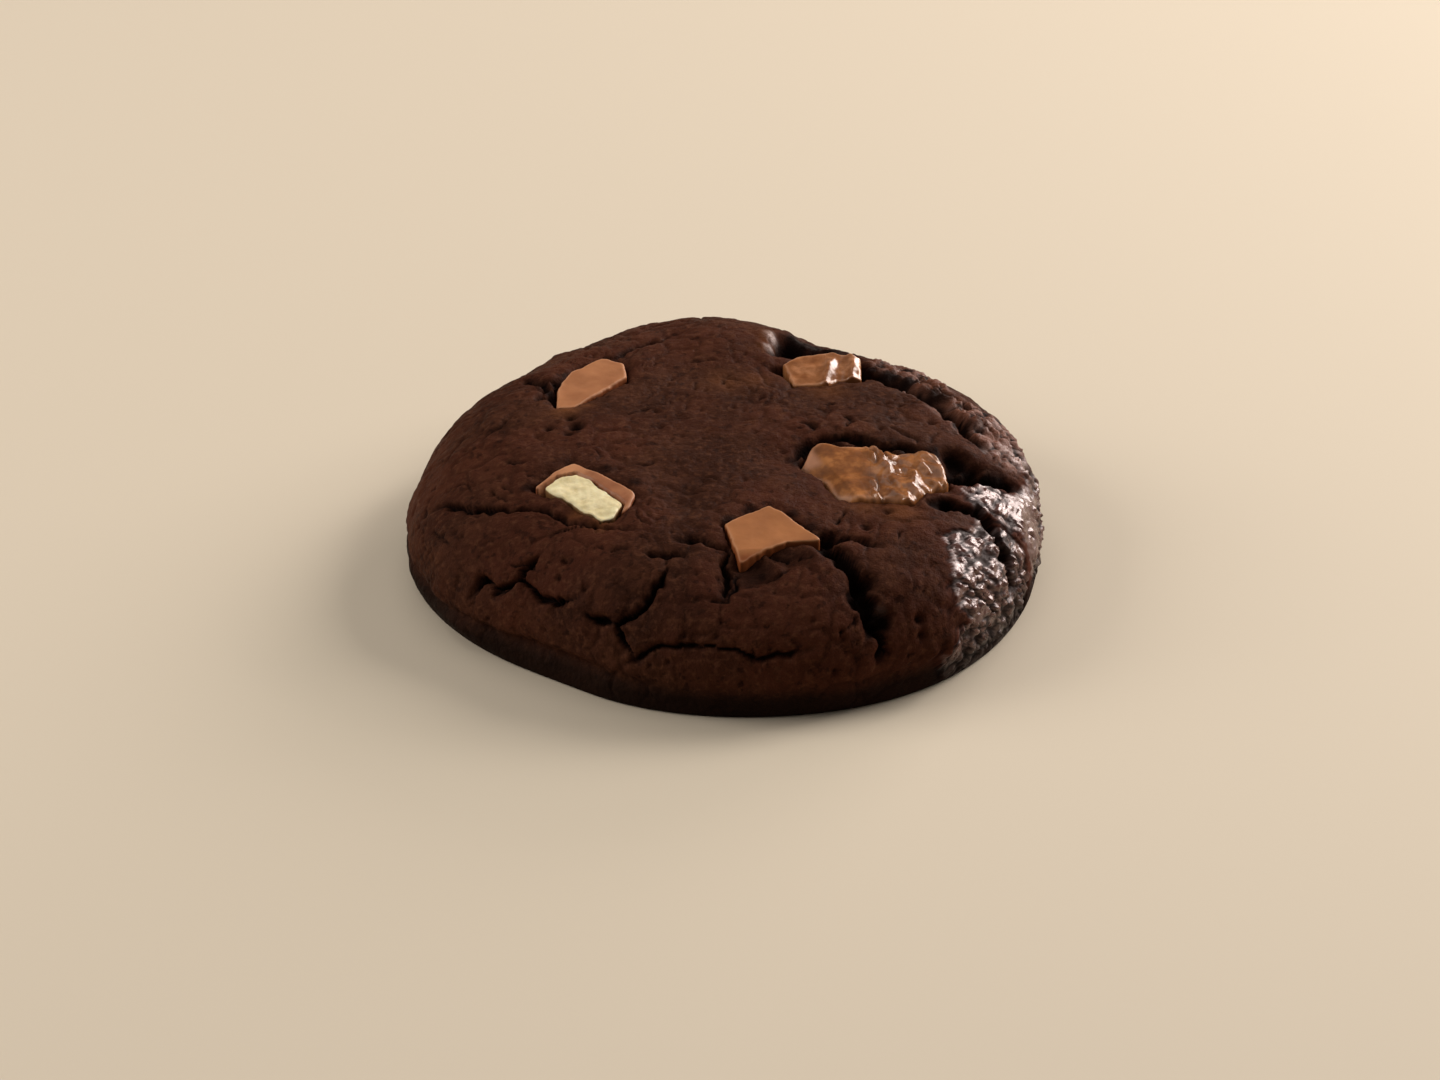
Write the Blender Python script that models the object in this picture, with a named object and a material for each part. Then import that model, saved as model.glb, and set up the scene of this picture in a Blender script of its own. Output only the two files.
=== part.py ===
"""A thick, soft double chocolate cookie with broken chunks of chocolate baked into its top.

Lengths in this file are in millimetres, and become metres as the solids are made.
X runs to the cookie's right, Y to its back and Z up. The cookie lies flat on Z = 0.
A place on the dough is given unrolled: its distance from the middle is the length of
the path over the top, down the side to that place, and its direction is the direction
seen from above.
"""

import math

import bmesh
import bpy
import numpy as np

METRES_PER_MM = 0.001
MIDDLE_TO_ORIGIN = (0.15, -2.04, 0.0)
COLLECTION_NAME = "chocolate_chunk_cookie"
CUTTER_COLLECTION_NAME = "cutters"

# The dough's bare form: nearly flat on top, round at the shoulder, tucked in at the foot.
DOUGH_RADIUS = 47.2
DOUGH_HEIGHT = 21.2
WIDEST_HEIGHT = 6.5
SHOULDER_POWER = 4.6
FOOT_TUCK = 1.2
FOOT_FADE = 3.5
TOP_STEPS = 400
FOOT_STEPS = 100
SLOPE_STEP = 0.3

# How far the outline leaves a circle: waves around the rim, height, and where a crest lies.
OUTLINE_WAVES = (
    (2, 1.5, math.radians(-39)),
    (3, 1.1, math.radians(-28)),
    (4, 1.3, math.radians(9)),
    (5, 0.7, math.radians(28)),
)

# Lesser swellings and flats of the outline: height, direction and width of each.
OUTLINE_SWELLINGS = (
    (1.5, math.radians(37), math.radians(11)),
    (-1.0, math.radians(178), math.radians(15)),
    (-0.8, math.radians(236), math.radians(12)),
)

# Smooth unevenness of the baked dough: width of a lump, its height, and the seed.
DOUGH_LUMPS = (
    (16.0, 0.75, 11),
    (7.0, 0.40, 23),
    (3.4, 0.16, 37),
)
NOISE_TABLE_SIZE = 64

# Cracks in the dough: half width, depth, and the path, unrolled.
CRACKS = {
    "left": (0.9, 1.5, ((-44, -10), (-41, -12), (-38, -16), (-34, -17), (-30, -18), (-27, -20),
                        (-23, -24), (-19, -26), (-14, -28))),
    "lower_left": (1.0, 1.7, ((-43, -30), (-39, -29), (-37, -32), (-33, -33), (-31, -36),
                              (-28, -39), (-23, -39))),
    "lower_left_branch": (0.9, 1.4, ((-33, -33), (-32, -31), (-29, -29))),
    "front": (1.0, 1.8, ((-9, -36), (-11, -40), (-14, -43), (-17, -45), (-23, -42))),
    "front_branch": (0.9, 1.3, ((-17, -45), (-16, -49))),
    "low_front": (1.1, 1.2, ((-18, -50), (-12, -49), (-7, -48), (1, -49), (6, -50), (13, -48))),
    "front_left_of_chunk": (0.9, 1.5, ((-7, -29), (-3, -30), (0, -32), (1, -37), (-1, -41))),
    "front_short": (0.9, 0.9, ((-12, -33), (-6, -33))),
    "front_right": (1.4, 3.0, ((15, -30), (18, -34.5), (19.5, -37.5), (21, -40), (23, -43.5),
                               (25, -46.5))),
    "right_of_front_chunk": (1.2, 1.8, ((13, -26), (15, -28), (18, -27), (22, -28))),
    "right": (1.3, 3.6, ((32, -16.5), (37.5, -16), (40, -19), (42.5, -22), (45.5, -24.5),
                         (47, -26))),
    "right_notch": (1.8, 3.2, ((34.5, -7.5), (38.5, -7), (42, -5.5), (45, -4.5))),
    "over_right_chunk": (1.2, 1.8, ((9, -7), (12, -3), (18, -2), (24, -3), (31, -4))),
    "upper_right": (1.4, 2.8, ((23.5, 22), (26, 18.5), (29.5, 16.5), (32, 13), (34.5, 8.5),
                               (36.5, 4.5), (39, 1))),
    "over_back_right_chunk": (1.8, 3.6, ((8, 28), (10, 29.5), (15, 29), (21, 27.5))),
    "over_back_left_chunk": (1.0, 1.6, ((-27, 10), (-27, 18), (-23, 24), (-17, 26), (-13, 29),
                                        (-7, 31))),
    "left_of_back_left_chunk": (0.9, 1.2, ((-32, 21), (-29, 17), (-28, 12))),
    "back": (1.0, 1.5, ((-26, 46), (-18, 49), (-9, 50), (0, 53), (9, 51), (15, 51))),
    "back_right": (1.1, 1.6, ((30, 44), (36, 40), (41, 37), (46, 30))),
    "back_left": (1.0, 1.3, ((-50, 18), (-47, 24), (-44, 33))),
}
CRACK_TAPER = 0.14
CRACK_END_STRENGTH = 0.25
CRACK_PULL = 0.75
CRACK_PULL_REACH = 1.3
EDGE_ROLL = 0.7
EDGE_ROLL_LENGTH = 2.2

# The rough crust at the right rim: its middle and reach, unrolled, and its grain.
CRUST_MIDDLE = (44.0, -27.0)
CRUST_REACH = 15.0
CRUST_FADE = 1.6
CRUST_GRAIN = 2.6
CRUST_HEIGHT = 0.45
CRUST_SEED = 51

# The crease above the foot at the front left: directions it lies between, place and size.
FOOT_CREASE_FROM = math.radians(-205)
FOOT_CREASE_TO = math.radians(-95)
FOOT_CREASE_PATH = 56.2
FOOT_CREASE_WIDTH = 1.3
FOOT_CREASE_DEPTH = 0.8
FOOT_CREASE_TAPER = 0.25

# The dough dips a little where it meets a chunk.
CHUNK_MOAT_DEPTH = 0.5
CHUNK_MOAT_WIDTH = 1.6

DOUGH_RINGS = 32
AT_THE_FOOT = 0.9999
PIECE_GAP = 0.3
POCKET_CLEARANCE_ABOVE = 5.0

# Chunks: corners from above, height of the top face at its middle, the rise of that face
# to the right and to the back, depth, roundness of the top edge, and unevenness.
CHUNKS = {
    "chunk_back_left": {
        "corners": ((-25.5, 9.0), (-25.5, 13.5), (-25.0, 16.5), (-23.5, 19.5), (-19.0, 23.5),
                    (-15.5, 22.0), (-15.0, 18.0), (-18.5, 14.0), (-23.0, 9.0)),
        "top": 20.5, "rise_x": 0.0, "rise_y": 0.05,
        "depth": 6.0, "edge": 0.7, "uneven": 0.12, "rings": 6,
    },
    "filled_chunk_shell": {
        "corners": ((-28.0, -14.0), (-25.5, -11.0), (-22.5, -9.0), (-18.5, -12.0),
                    (-15.0, -15.5), (-13.0, -18.0), (-14.0, -21.0), (-16.0, -23.5),
                    (-18.0, -23.5), (-20.5, -21.0), (-23.5, -18.0), (-26.0, -16.0)),
        "top": 20.5, "rise_x": 0.12, "rise_y": 0.12,
        "depth": 6.5, "edge": 0.5, "uneven": 0.08, "rings": 6,
    },
    "chunk_front": {
        "corners": ((0.0, -25.5), (2.0, -23.5), (6.5, -21.0), (8.0, -22.0), (14.0, -29.0),
                    (9.0, -29.5), (5.5, -32.0), (2.0, -34.5), (1.0, -30.0)),
        "top": 20.2, "rise_x": 0.0, "rise_y": 0.12,
        "depth": 6.0, "edge": 0.5, "uneven": 0.08, "rings": 6,
    },
    "chunk_right": {
        "corners": ((11.0, -7.5), (12.5, -5.0), (14.0, -3.0), (17.0, -4.0), (21.0, -3.5),
                    (26.0, -5.5), (30.5, -5.0), (32.5, -8.0), (33.0, -13.0), (30.0, -15.0),
                    (27.5, -18.5), (24.0, -18.0), (18.5, -17.5), (16.0, -16.0), (14.5, -12.0),
                    (11.5, -9.0)),
        "top": 20.6, "rise_x": -0.02, "rise_y": 0.08,
        "depth": 7.0, "edge": 1.1, "uneven": 0.45, "rings": 9,
    },
    "chunk_back_right": {
        "corners": ((9.0, 22.0), (11.0, 24.0), (17.0, 25.5), (21.0, 24.0), (21.0, 18.0),
                    (17.5, 17.5), (16.0, 16.0), (10.5, 16.0), (10.0, 18.0)),
        "top": 20.5, "rise_x": 0.0, "rise_y": 0.08,
        "depth": 6.5, "edge": 0.8, "uneven": 0.25, "rings": 6,
    },
}
CHUNK_SEED = 70
CHUNK_GRAIN = 3.0
CHUNK_NARROWING = 0.86
CHUNK_WAIST = 0.5
CORNER_CUT = 1.0 - math.cos(math.radians(45))

# The cream block in the filled chunk. The pocket for it runs out past the shell's front,
# so that the broken side is open, and the shell keeps a floor under it.
CREAM = {
    "corners": ((-26.5, -14.5), (-24.5, -12.5), (-22.0, -12.0), (-20.0, -13.5), (-18.5, -15.5),
                (-16.5, -18.0), (-15.0, -20.0), (-15.5, -22.0), (-16.5, -23.5), (-18.0, -23.5),
                (-20.5, -21.0), (-23.0, -18.0), (-25.5, -16.0)),
    "top": 20.6, "rise_x": 0.12, "rise_y": 0.12,
    "depth": 5.0, "edge": 0.4, "uneven": 0.15, "rings": 6,
}
CREAM_POCKET = {
    "corners": ((-27.0, -14.1), (-24.7, -12.1), (-21.9, -11.5), (-19.6, -13.2), (-18.1, -15.2),
                (-16.0, -17.8), (-14.5, -20.0), (-15.0, -22.0), (-15.0, -25.0), (-19.0, -27.0),
                (-25.0, -21.5), (-28.5, -16.5)),
    "top": 20.6, "rise_x": 0.12, "rise_y": 0.12,
    "depth": 5.3, "edge": 0.4, "uneven": 0.0, "rings": 6,
}

MATERIALS = {
    "dough": ((0.045, 0.020, 0.013, 1.0), 0.62),
    "chunk_back_left": ((0.33, 0.142, 0.062, 1.0), 0.45),
    "filled_chunk_shell": ((0.23, 0.092, 0.042, 1.0), 0.45),
    "filled_chunk_cream": ((0.68, 0.55, 0.33, 1.0), 0.55),
    "chunk_front": ((0.25, 0.100, 0.045, 1.0), 0.45),
    "chunk_right": ((0.24, 0.095, 0.035, 1.0), 0.35),
    "chunk_back_right": ((0.26, 0.100, 0.038, 1.0), 0.30),
}


def clear_objects():
    """Remove every object, so that the file starts empty."""
    for old in list(bpy.data.objects):
        bpy.data.objects.remove(old, do_unlink=True)


def new_collection(name):
    """Return a new collection in the scene."""
    collection = bpy.data.collections.new(name)
    bpy.context.scene.collection.children.link(collection)
    return collection


def make_material(name):
    """Return the plain material of one sub-part."""
    colour, roughness = MATERIALS[name]
    material = bpy.data.materials.new(name)
    material.use_nodes = True
    shader = material.node_tree.nodes["Principled BSDF"]
    shader.inputs["Base Color"].default_value = colour
    shader.inputs["Roughness"].default_value = roughness
    shader.inputs["Metallic"].default_value = 0.0
    material.diffuse_color = colour
    return material


def soft_noise(x, y, grain, seed):
    """Return smooth noise between -1 and 1, with lumps about one grain apart."""
    size = NOISE_TABLE_SIZE
    table = np.random.default_rng(seed).uniform(-1.0, 1.0, (size, size))
    u = x / grain + size / 2
    v = y / grain + size / 2
    column = np.floor(u).astype(int)
    row = np.floor(v).astype(int)
    u = u - column
    v = v - row
    u = u * u * (3.0 - 2.0 * u)
    v = v * v * (3.0 - 2.0 * v)
    near = table[row % size, column % size] * (1 - u) + table[row % size, (column + 1) % size] * u
    far_row = (row + 1) % size
    far = table[far_row, column % size] * (1 - u) + table[far_row, (column + 1) % size] * u
    return near * (1 - v) + far * v


def smooth_step(value):
    """Ease a value from 0 to 1."""
    value = np.clip(value, 0.0, 1.0)
    return value * value * (3.0 - 2.0 * value)


def nearest_on_path(x, y, path):
    """Return the nearest place on a path, its distance, and how far along the path it is."""
    points = np.array(path, dtype=float)
    lengths = np.hypot(*np.diff(points, axis=0).T)
    nearest = np.full(x.shape, 1e9)
    place_x = np.zeros(x.shape)
    place_y = np.zeros(x.shape)
    share = np.zeros(x.shape)
    done = 0.0
    for start, end, length in zip(points[:-1], points[1:], lengths):
        direction = (end - start) / length
        reach = np.clip((x - start[0]) * direction[0] + (y - start[1]) * direction[1], 0, length)
        on_x = start[0] + reach * direction[0]
        on_y = start[1] + reach * direction[1]
        away = np.hypot(x - on_x, y - on_y)
        closer = away < nearest
        nearest = np.where(closer, away, nearest)
        place_x = np.where(closer, on_x, place_x)
        place_y = np.where(closer, on_y, place_y)
        share = np.where(closer, (done + reach) / lengths.sum(), share)
        done += length
    return place_x, place_y, nearest, share


def pull_to_cracks(x, y):
    """Move points near a crack towards it, so that the mesh follows the crack's line."""
    nearest = np.full(x.shape, 1e9)
    target_x = x
    target_y = y
    for _, _, path in CRACKS.values():
        on_x, on_y, away, _ = nearest_on_path(x, y, path)
        closer = away < nearest
        nearest = np.where(closer, away, nearest)
        target_x = np.where(closer, on_x, target_x)
        target_y = np.where(closer, on_y, target_y)
    pull = CRACK_PULL * np.exp(-(nearest / CRACK_PULL_REACH) ** 2)
    return x + (target_x - x) * pull, y + (target_y - y) * pull


def profile():
    """Return the dough's profile: length of the path over it, radius and height."""
    turn = np.linspace(0.0, math.pi / 2, TOP_STEPS)
    radius = DOUGH_RADIUS * np.sin(turn) ** (2 / SHOULDER_POWER)
    height = WIDEST_HEIGHT + (DOUGH_HEIGHT - WIDEST_HEIGHT) * np.cos(turn)
    tuck = np.linspace(0.0, math.pi / 2, FOOT_STEPS)[1:]
    radius = np.append(radius, DOUGH_RADIUS - FOOT_TUCK * (1 - np.cos(tuck)))
    height = np.append(height, WIDEST_HEIGHT * (1 - np.sin(tuck)))
    steps = np.hypot(np.diff(radius), np.diff(height))
    path = np.append(0.0, np.cumsum(steps))
    return path, radius, height


def outline(angle):
    """Return how much wider than the mean the dough is in each direction."""
    wave = sum(high * np.cos(count * (angle - crest)) for count, high, crest in OUTLINE_WAVES)
    for high, crest, width in OUTLINE_SWELLINGS:
        off = np.arctan2(np.sin(angle - crest), np.cos(angle - crest))
        wave = wave + high * np.exp(-(off / width) ** 2)
    return 1.0 + wave / DOUGH_RADIUS


def crack_relief(x, y):
    """Return how far the cracks sink the dough, and the plates between them round off."""
    groove = np.zeros(x.shape)
    roll = np.zeros(x.shape)
    for half_width, depth, path in CRACKS.values():
        _, _, away, share = nearest_on_path(x, y, path)
        body = smooth_step(np.minimum(share, 1 - share) / CRACK_TAPER)
        strength = CRACK_END_STRENGTH + (1.0 - CRACK_END_STRENGTH) * body
        groove = np.maximum(groove, depth * strength * np.exp(-(away / half_width) ** 2))
        roll = np.maximum(roll, strength * np.exp(-away / EDGE_ROLL_LENGTH))
    return groove + EDGE_ROLL * roll


def crust_relief(x, y):
    """Return the height of the pebbly crust at the right rim."""
    away = np.hypot(x - CRUST_MIDDLE[0], y - CRUST_MIDDLE[1])
    mask = smooth_step(CRUST_FADE * (1.0 - away / CRUST_REACH))
    return CRUST_HEIGHT * mask * soft_noise(x, y, CRUST_GRAIN, CRUST_SEED)


def foot_crease(path, angle):
    """Return the depth of the crease that sets off the foot at the front left."""
    turned = np.where(angle > FOOT_CREASE_TO + math.pi / 2, angle - 2 * math.pi, angle)
    share = (turned - FOOT_CREASE_FROM) / (FOOT_CREASE_TO - FOOT_CREASE_FROM)
    reach = smooth_step(np.minimum(share, 1 - share) / FOOT_CREASE_TAPER)
    return FOOT_CREASE_DEPTH * reach * np.exp(-((path - FOOT_CREASE_PATH) / FOOT_CREASE_WIDTH) ** 2)


def chunk_moat(x, y):
    """Return how far the dough dips beside the chunks, for places seen from above."""
    dip = np.zeros(x.shape)
    for chunk in CHUNKS.values():
        corners = chunk["corners"]
        _, _, away, _ = nearest_on_path(x, y, corners + corners[:1])
        dip = np.maximum(dip, np.exp(-(away / CHUNK_MOAT_WIDTH) ** 2))
    return CHUNK_MOAT_DEPTH * dip


def dough_surface(share, angle):
    """Return points on the dough, for shares of the way from the middle to the foot."""
    path, radius, height = profile()
    place = share * path[-1]
    x, y = pull_to_cracks(place * np.cos(angle), place * np.sin(angle))
    on_foot = share > AT_THE_FOOT
    place = np.where(on_foot, path[-1], np.minimum(np.hypot(x, y), path[-1] - SLOPE_STEP))
    angle = np.arctan2(y, x)
    ahead = place + SLOPE_STEP
    behind = place - SLOPE_STEP
    run = np.interp(ahead, path, radius) - np.interp(behind, path, radius)
    rise = np.interp(ahead, path, height) - np.interp(behind, path, height)
    length = np.hypot(run, rise)
    wide = np.interp(place, path, radius) * outline(angle)
    relief = sum(high * soft_noise(x, y, grain, seed) for grain, high, seed in DOUGH_LUMPS)
    relief = relief + crust_relief(x, y) - crack_relief(x, y) - foot_crease(place, angle)
    relief = relief - chunk_moat(wide * np.cos(angle), wide * np.sin(angle))
    relief = relief * smooth_step((path[-1] - place) / FOOT_FADE)
    outward = wide - relief * rise / length
    up = np.interp(place, path, height) + relief * run / length
    up = np.where(on_foot, 0.0, up)
    return np.stack([outward * np.cos(angle), outward * np.sin(angle), up], axis=-1)


def polygon_radius(corners, middle, angle):
    """Return the distance from the middle of a flat shape to its edge in each direction."""
    radius = np.full(angle.shape, 1e9)
    ray_x = np.cos(angle)
    ray_y = np.sin(angle)
    ends = np.array(corners[1:] + corners[:1]) - middle
    starts = np.array(corners) - middle
    for start, end in zip(starts, ends):
        side = end - start
        turn = ray_x * side[1] - ray_y * side[0]
        turn = np.where(np.abs(turn) < 1e-9, 1e-9, turn)
        reach = (start[0] * side[1] - start[1] * side[0]) / turn
        share = (start[0] * ray_y - start[1] * ray_x) / turn
        hit = (reach > 0) & (share >= -1e-6) & (share <= 1 + 1e-6)
        radius = np.where(hit & (reach < radius), reach, radius)
    return radius


def chunk_profile(chunk, grow, raise_top):
    """Return a chunk's rings from the middle of its top to its lower edge.

    They come as three rows: the share of the outline's width, the step in from it, and the
    drop below the top face. A cutter has a sharp top edge, which stands clear above.
    """
    edge = chunk["edge"]
    flat_rings = chunk["rings"] - 4
    flat = np.linspace(0.0, 1.0, flat_rings + 1)
    spread = np.append(flat, (1.0, 1.0, 1.0, CHUNK_NARROWING))
    if raise_top:
        inset = np.zeros(spread.shape)
        corner = (0.5 * raise_top, raise_top)
    else:
        inset = np.append(edge * flat, (CORNER_CUT * edge, 0.0, 0.0, 0.0))
        corner = (CORNER_CUT * edge, edge)
    waist = raise_top + CHUNK_WAIST * chunk["depth"]
    sides = (waist, raise_top + chunk["depth"] + grow)
    drop = np.concatenate((0.0 * flat, corner, sides))
    return spread, inset, drop


def chunk_surface(chunk, share, angle, grow=0.0, raise_top=0.0):
    """Return points on a chunk, from the middle of its top to its lower edge."""
    corners = chunk["corners"]
    middle = np.mean(np.array(corners), axis=0)
    spread, inset, drop = chunk_profile(chunk, grow, raise_top)
    ring = share * chunk["rings"]
    rings = np.arange(len(spread))
    rim = polygon_radius(corners, middle, angle) + grow
    wide = np.interp(ring, rings, spread) * rim - np.interp(ring, rings, inset)
    x = wide * np.cos(angle)
    y = wide * np.sin(angle)
    face = chunk["top"] + raise_top + chunk["rise_x"] * x + chunk["rise_y"] * y
    if not raise_top:
        grain = soft_noise(x + middle[0], y + middle[1], CHUNK_GRAIN, CHUNK_SEED)
        face = face + chunk["uneven"] * grain
    z = face - np.interp(ring, rings, drop)
    floor = chunk["top"] - chunk["depth"] - grow
    z = np.where(share > AT_THE_FOOT, floor, z)
    return np.stack([x + middle[0], y + middle[1], z], axis=-1)


def drape(rings, surface):
    """Bend a square grid over a round form, and close it below with one flat face."""
    mesh = bmesh.new()
    bmesh.ops.create_grid(mesh, x_segments=2 * rings, y_segments=2 * rings, size=1.0)
    flat = np.array([vertex.co[:2] for vertex in mesh.verts])
    across = flat[:, 0]
    along = flat[:, 1]
    share = np.maximum(np.abs(across), np.abs(along))
    share = np.where(share < 1e-6, 0.0, share)
    safe = np.where(share == 0, 1.0, share)
    quarter = math.pi / 4
    sideways = np.where(across > 0, quarter * along / safe, math.pi + quarter * -along / safe)
    lengthways = np.where(along > 0, math.pi / 2 - quarter * across / safe,
                          -math.pi / 2 + quarter * across / safe)
    angle = np.where(np.abs(across) >= np.abs(along), sideways, lengthways)
    angle = np.arctan2(np.sin(angle), np.cos(angle))
    points = (surface(share, angle) + MIDDLE_TO_ORIGIN) * METRES_PER_MM
    for vertex, point in zip(mesh.verts, points):
        vertex.co = point
    bmesh.ops.triangulate(mesh, faces=mesh.faces[:])
    rim = [side for side in mesh.edges if side.is_boundary]
    bmesh.ops.contextual_create(mesh, geom=rim)
    bmesh.ops.recalc_face_normals(mesh, faces=mesh.faces[:])
    return mesh


def make_object(name, mesh, collection):
    """Put a finished mesh into the file as a named object."""
    data = bpy.data.meshes.new(name)
    mesh.to_mesh(data)
    mesh.free()
    made = bpy.data.objects.new(name, data)
    collection.objects.link(made)
    return made


def make_cutter(name, chunk, grow, collection):
    """Make a chunk's cutter: a little larger all round, and open above."""
    def surface(share, angle):
        return chunk_surface(chunk, share, angle, grow, POCKET_CLEARANCE_ABOVE)
    cutter = make_object(name, drape(chunk["rings"], surface), collection)
    cutter.hide_render = True
    cutter.display_type = "WIRE"
    return cutter


def cut(made, cutter):
    """Cut one object with another by a Boolean modifier."""
    modifier = made.modifiers.new("cut_" + cutter.name, "BOOLEAN")
    modifier.operation = "DIFFERENCE"
    modifier.solver = "EXACT"
    modifier.object = cutter


def make_dough(collection, cutters):
    """Make the dough, with a pocket for each chunk."""
    dough = make_object("dough", drape(DOUGH_RINGS, dough_surface), collection)
    for name, chunk in CHUNKS.items():
        cut(dough, make_cutter("pocket_" + name, chunk, PIECE_GAP, cutters))
    dough.data.materials.append(make_material("dough"))
    return dough


def make_chunk(name, chunk, collection):
    """Make one broken piece of chocolate or filling."""
    def surface(share, angle):
        return chunk_surface(chunk, share, angle)
    made = make_object(name, drape(chunk["rings"], surface), collection)
    made.data.materials.append(make_material(name))
    return made


def make_filled_chunk(collection, cutters):
    """Make the shell and the cream of the filled chunk."""
    shell = make_chunk("filled_chunk_shell", CHUNKS["filled_chunk_shell"], collection)
    cut(shell, make_cutter("cream_pocket", CREAM_POCKET, 0.0, cutters))
    make_chunk("filled_chunk_cream", CREAM, collection)


def main():
    """Build the cookie."""
    clear_objects()
    collection = new_collection(COLLECTION_NAME)
    cutters = new_collection(CUTTER_COLLECTION_NAME)
    cutters.hide_render = True
    make_dough(collection, cutters)
    for name, chunk in CHUNKS.items():
        if name != "filled_chunk_shell":
            make_chunk(name, chunk, collection)
    make_filled_chunk(collection, cutters)


main()
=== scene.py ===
"""The looks of a thick, soft double chocolate cookie with chunks of chocolate in its top.

Lengths in this file are in millimetres, and become metres as the pieces are made. The
textures, the lights and the floor are given in metres. A layer of smooth noise is given as
its grain, its height and its seed.

A place on the dough is given unrolled: its distance from the middle is the length of the
path over the top and down the side to that place, and its direction is the direction seen
from above.
"""

import math

import bpy
import numpy as np
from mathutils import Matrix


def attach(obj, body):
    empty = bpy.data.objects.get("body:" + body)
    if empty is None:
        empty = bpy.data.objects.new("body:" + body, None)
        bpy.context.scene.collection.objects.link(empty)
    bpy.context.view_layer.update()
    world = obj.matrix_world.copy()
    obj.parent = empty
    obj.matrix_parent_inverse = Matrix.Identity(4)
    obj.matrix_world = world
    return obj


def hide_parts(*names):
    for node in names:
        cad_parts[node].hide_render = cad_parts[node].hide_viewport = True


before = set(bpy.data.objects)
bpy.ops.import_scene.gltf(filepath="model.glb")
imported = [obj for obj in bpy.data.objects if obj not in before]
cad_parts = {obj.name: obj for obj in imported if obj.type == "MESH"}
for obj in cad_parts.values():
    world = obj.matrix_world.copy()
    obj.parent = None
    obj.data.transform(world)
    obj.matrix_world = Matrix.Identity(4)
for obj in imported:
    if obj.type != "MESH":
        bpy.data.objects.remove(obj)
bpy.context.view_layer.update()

METRES_PER_MM = 0.001
MIDDLE_TO_ORIGIN = np.array((0.15, -2.04, 0.0))
FAR = 99.0
TINY = 1e-9
CORNER_SLACK = 1e-6
HALFWAY = 0.5
NOISE_TABLE_SIZE = 64
SPOT_REACH = 3

# The dough's bare form.
DOUGH_RADIUS = 47.2
DOUGH_HEIGHT = 21.2
WIDEST_HEIGHT = 6.5
SHOULDER_POWER = 4.6
FOOT_TUCK = 1.2
FOOT_FADE = 3.5
TOP_STEPS = 400
FOOT_STEPS = 100
SLOPE_STEP = 0.3
OUTLINE_WAVES = (
    (2, 1.5, math.radians(-39)),
    (3, 1.1, math.radians(-28)),
    (4, 1.3, math.radians(9)),
    (5, 0.7, math.radians(28)),
)
OUTLINE_SWELLINGS = (
    (1.5, math.radians(37), math.radians(11)),
    (-1.0, math.radians(178), math.radians(15)),
    (-0.8, math.radians(236), math.radians(12)),
)

# Smooth unevenness of the dough, from broad lumps to fine grain.
DOUGH_LUMPS = (
    (16.0, 0.75, 11),
    (7.0, 0.40, 23),
    (3.4, 0.13, 37),
)
DOUGH_GRAIN = (
    (1.7, 0.080, 41),
    (0.8, 0.075, 43),
)

# How far marks and hollows of the dough wander from their round shape.
DOUGH_BEND = (1.6, 0.6, 75)

# The fine net of cracks that the crust breaks into: cell size, width, depth and seed.
CRACKLE = (
    (5.2, 0.30, 0.24, 46),
    (2.3, 0.26, 0.10, 47),
)
NET_BEND = (1.5, 0.5, 48)
NET_LINE_SPREAD = 2.2

# The patches where that net shows: their size in cells, and how much of the dough they take.
NET_PATCH_CELLS = 1.7
NET_PATCH_LEVEL = 0.5
NET_PATCH_CONTRAST = 1.6
NET_PATCH_SEED_STEP = 10

# How the lines of the cracks wander: reach of the wander, grain and seed.
WANDER = (
    (0.70, 2.6, 61),
    (0.38, 1.1, 63),
)

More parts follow.
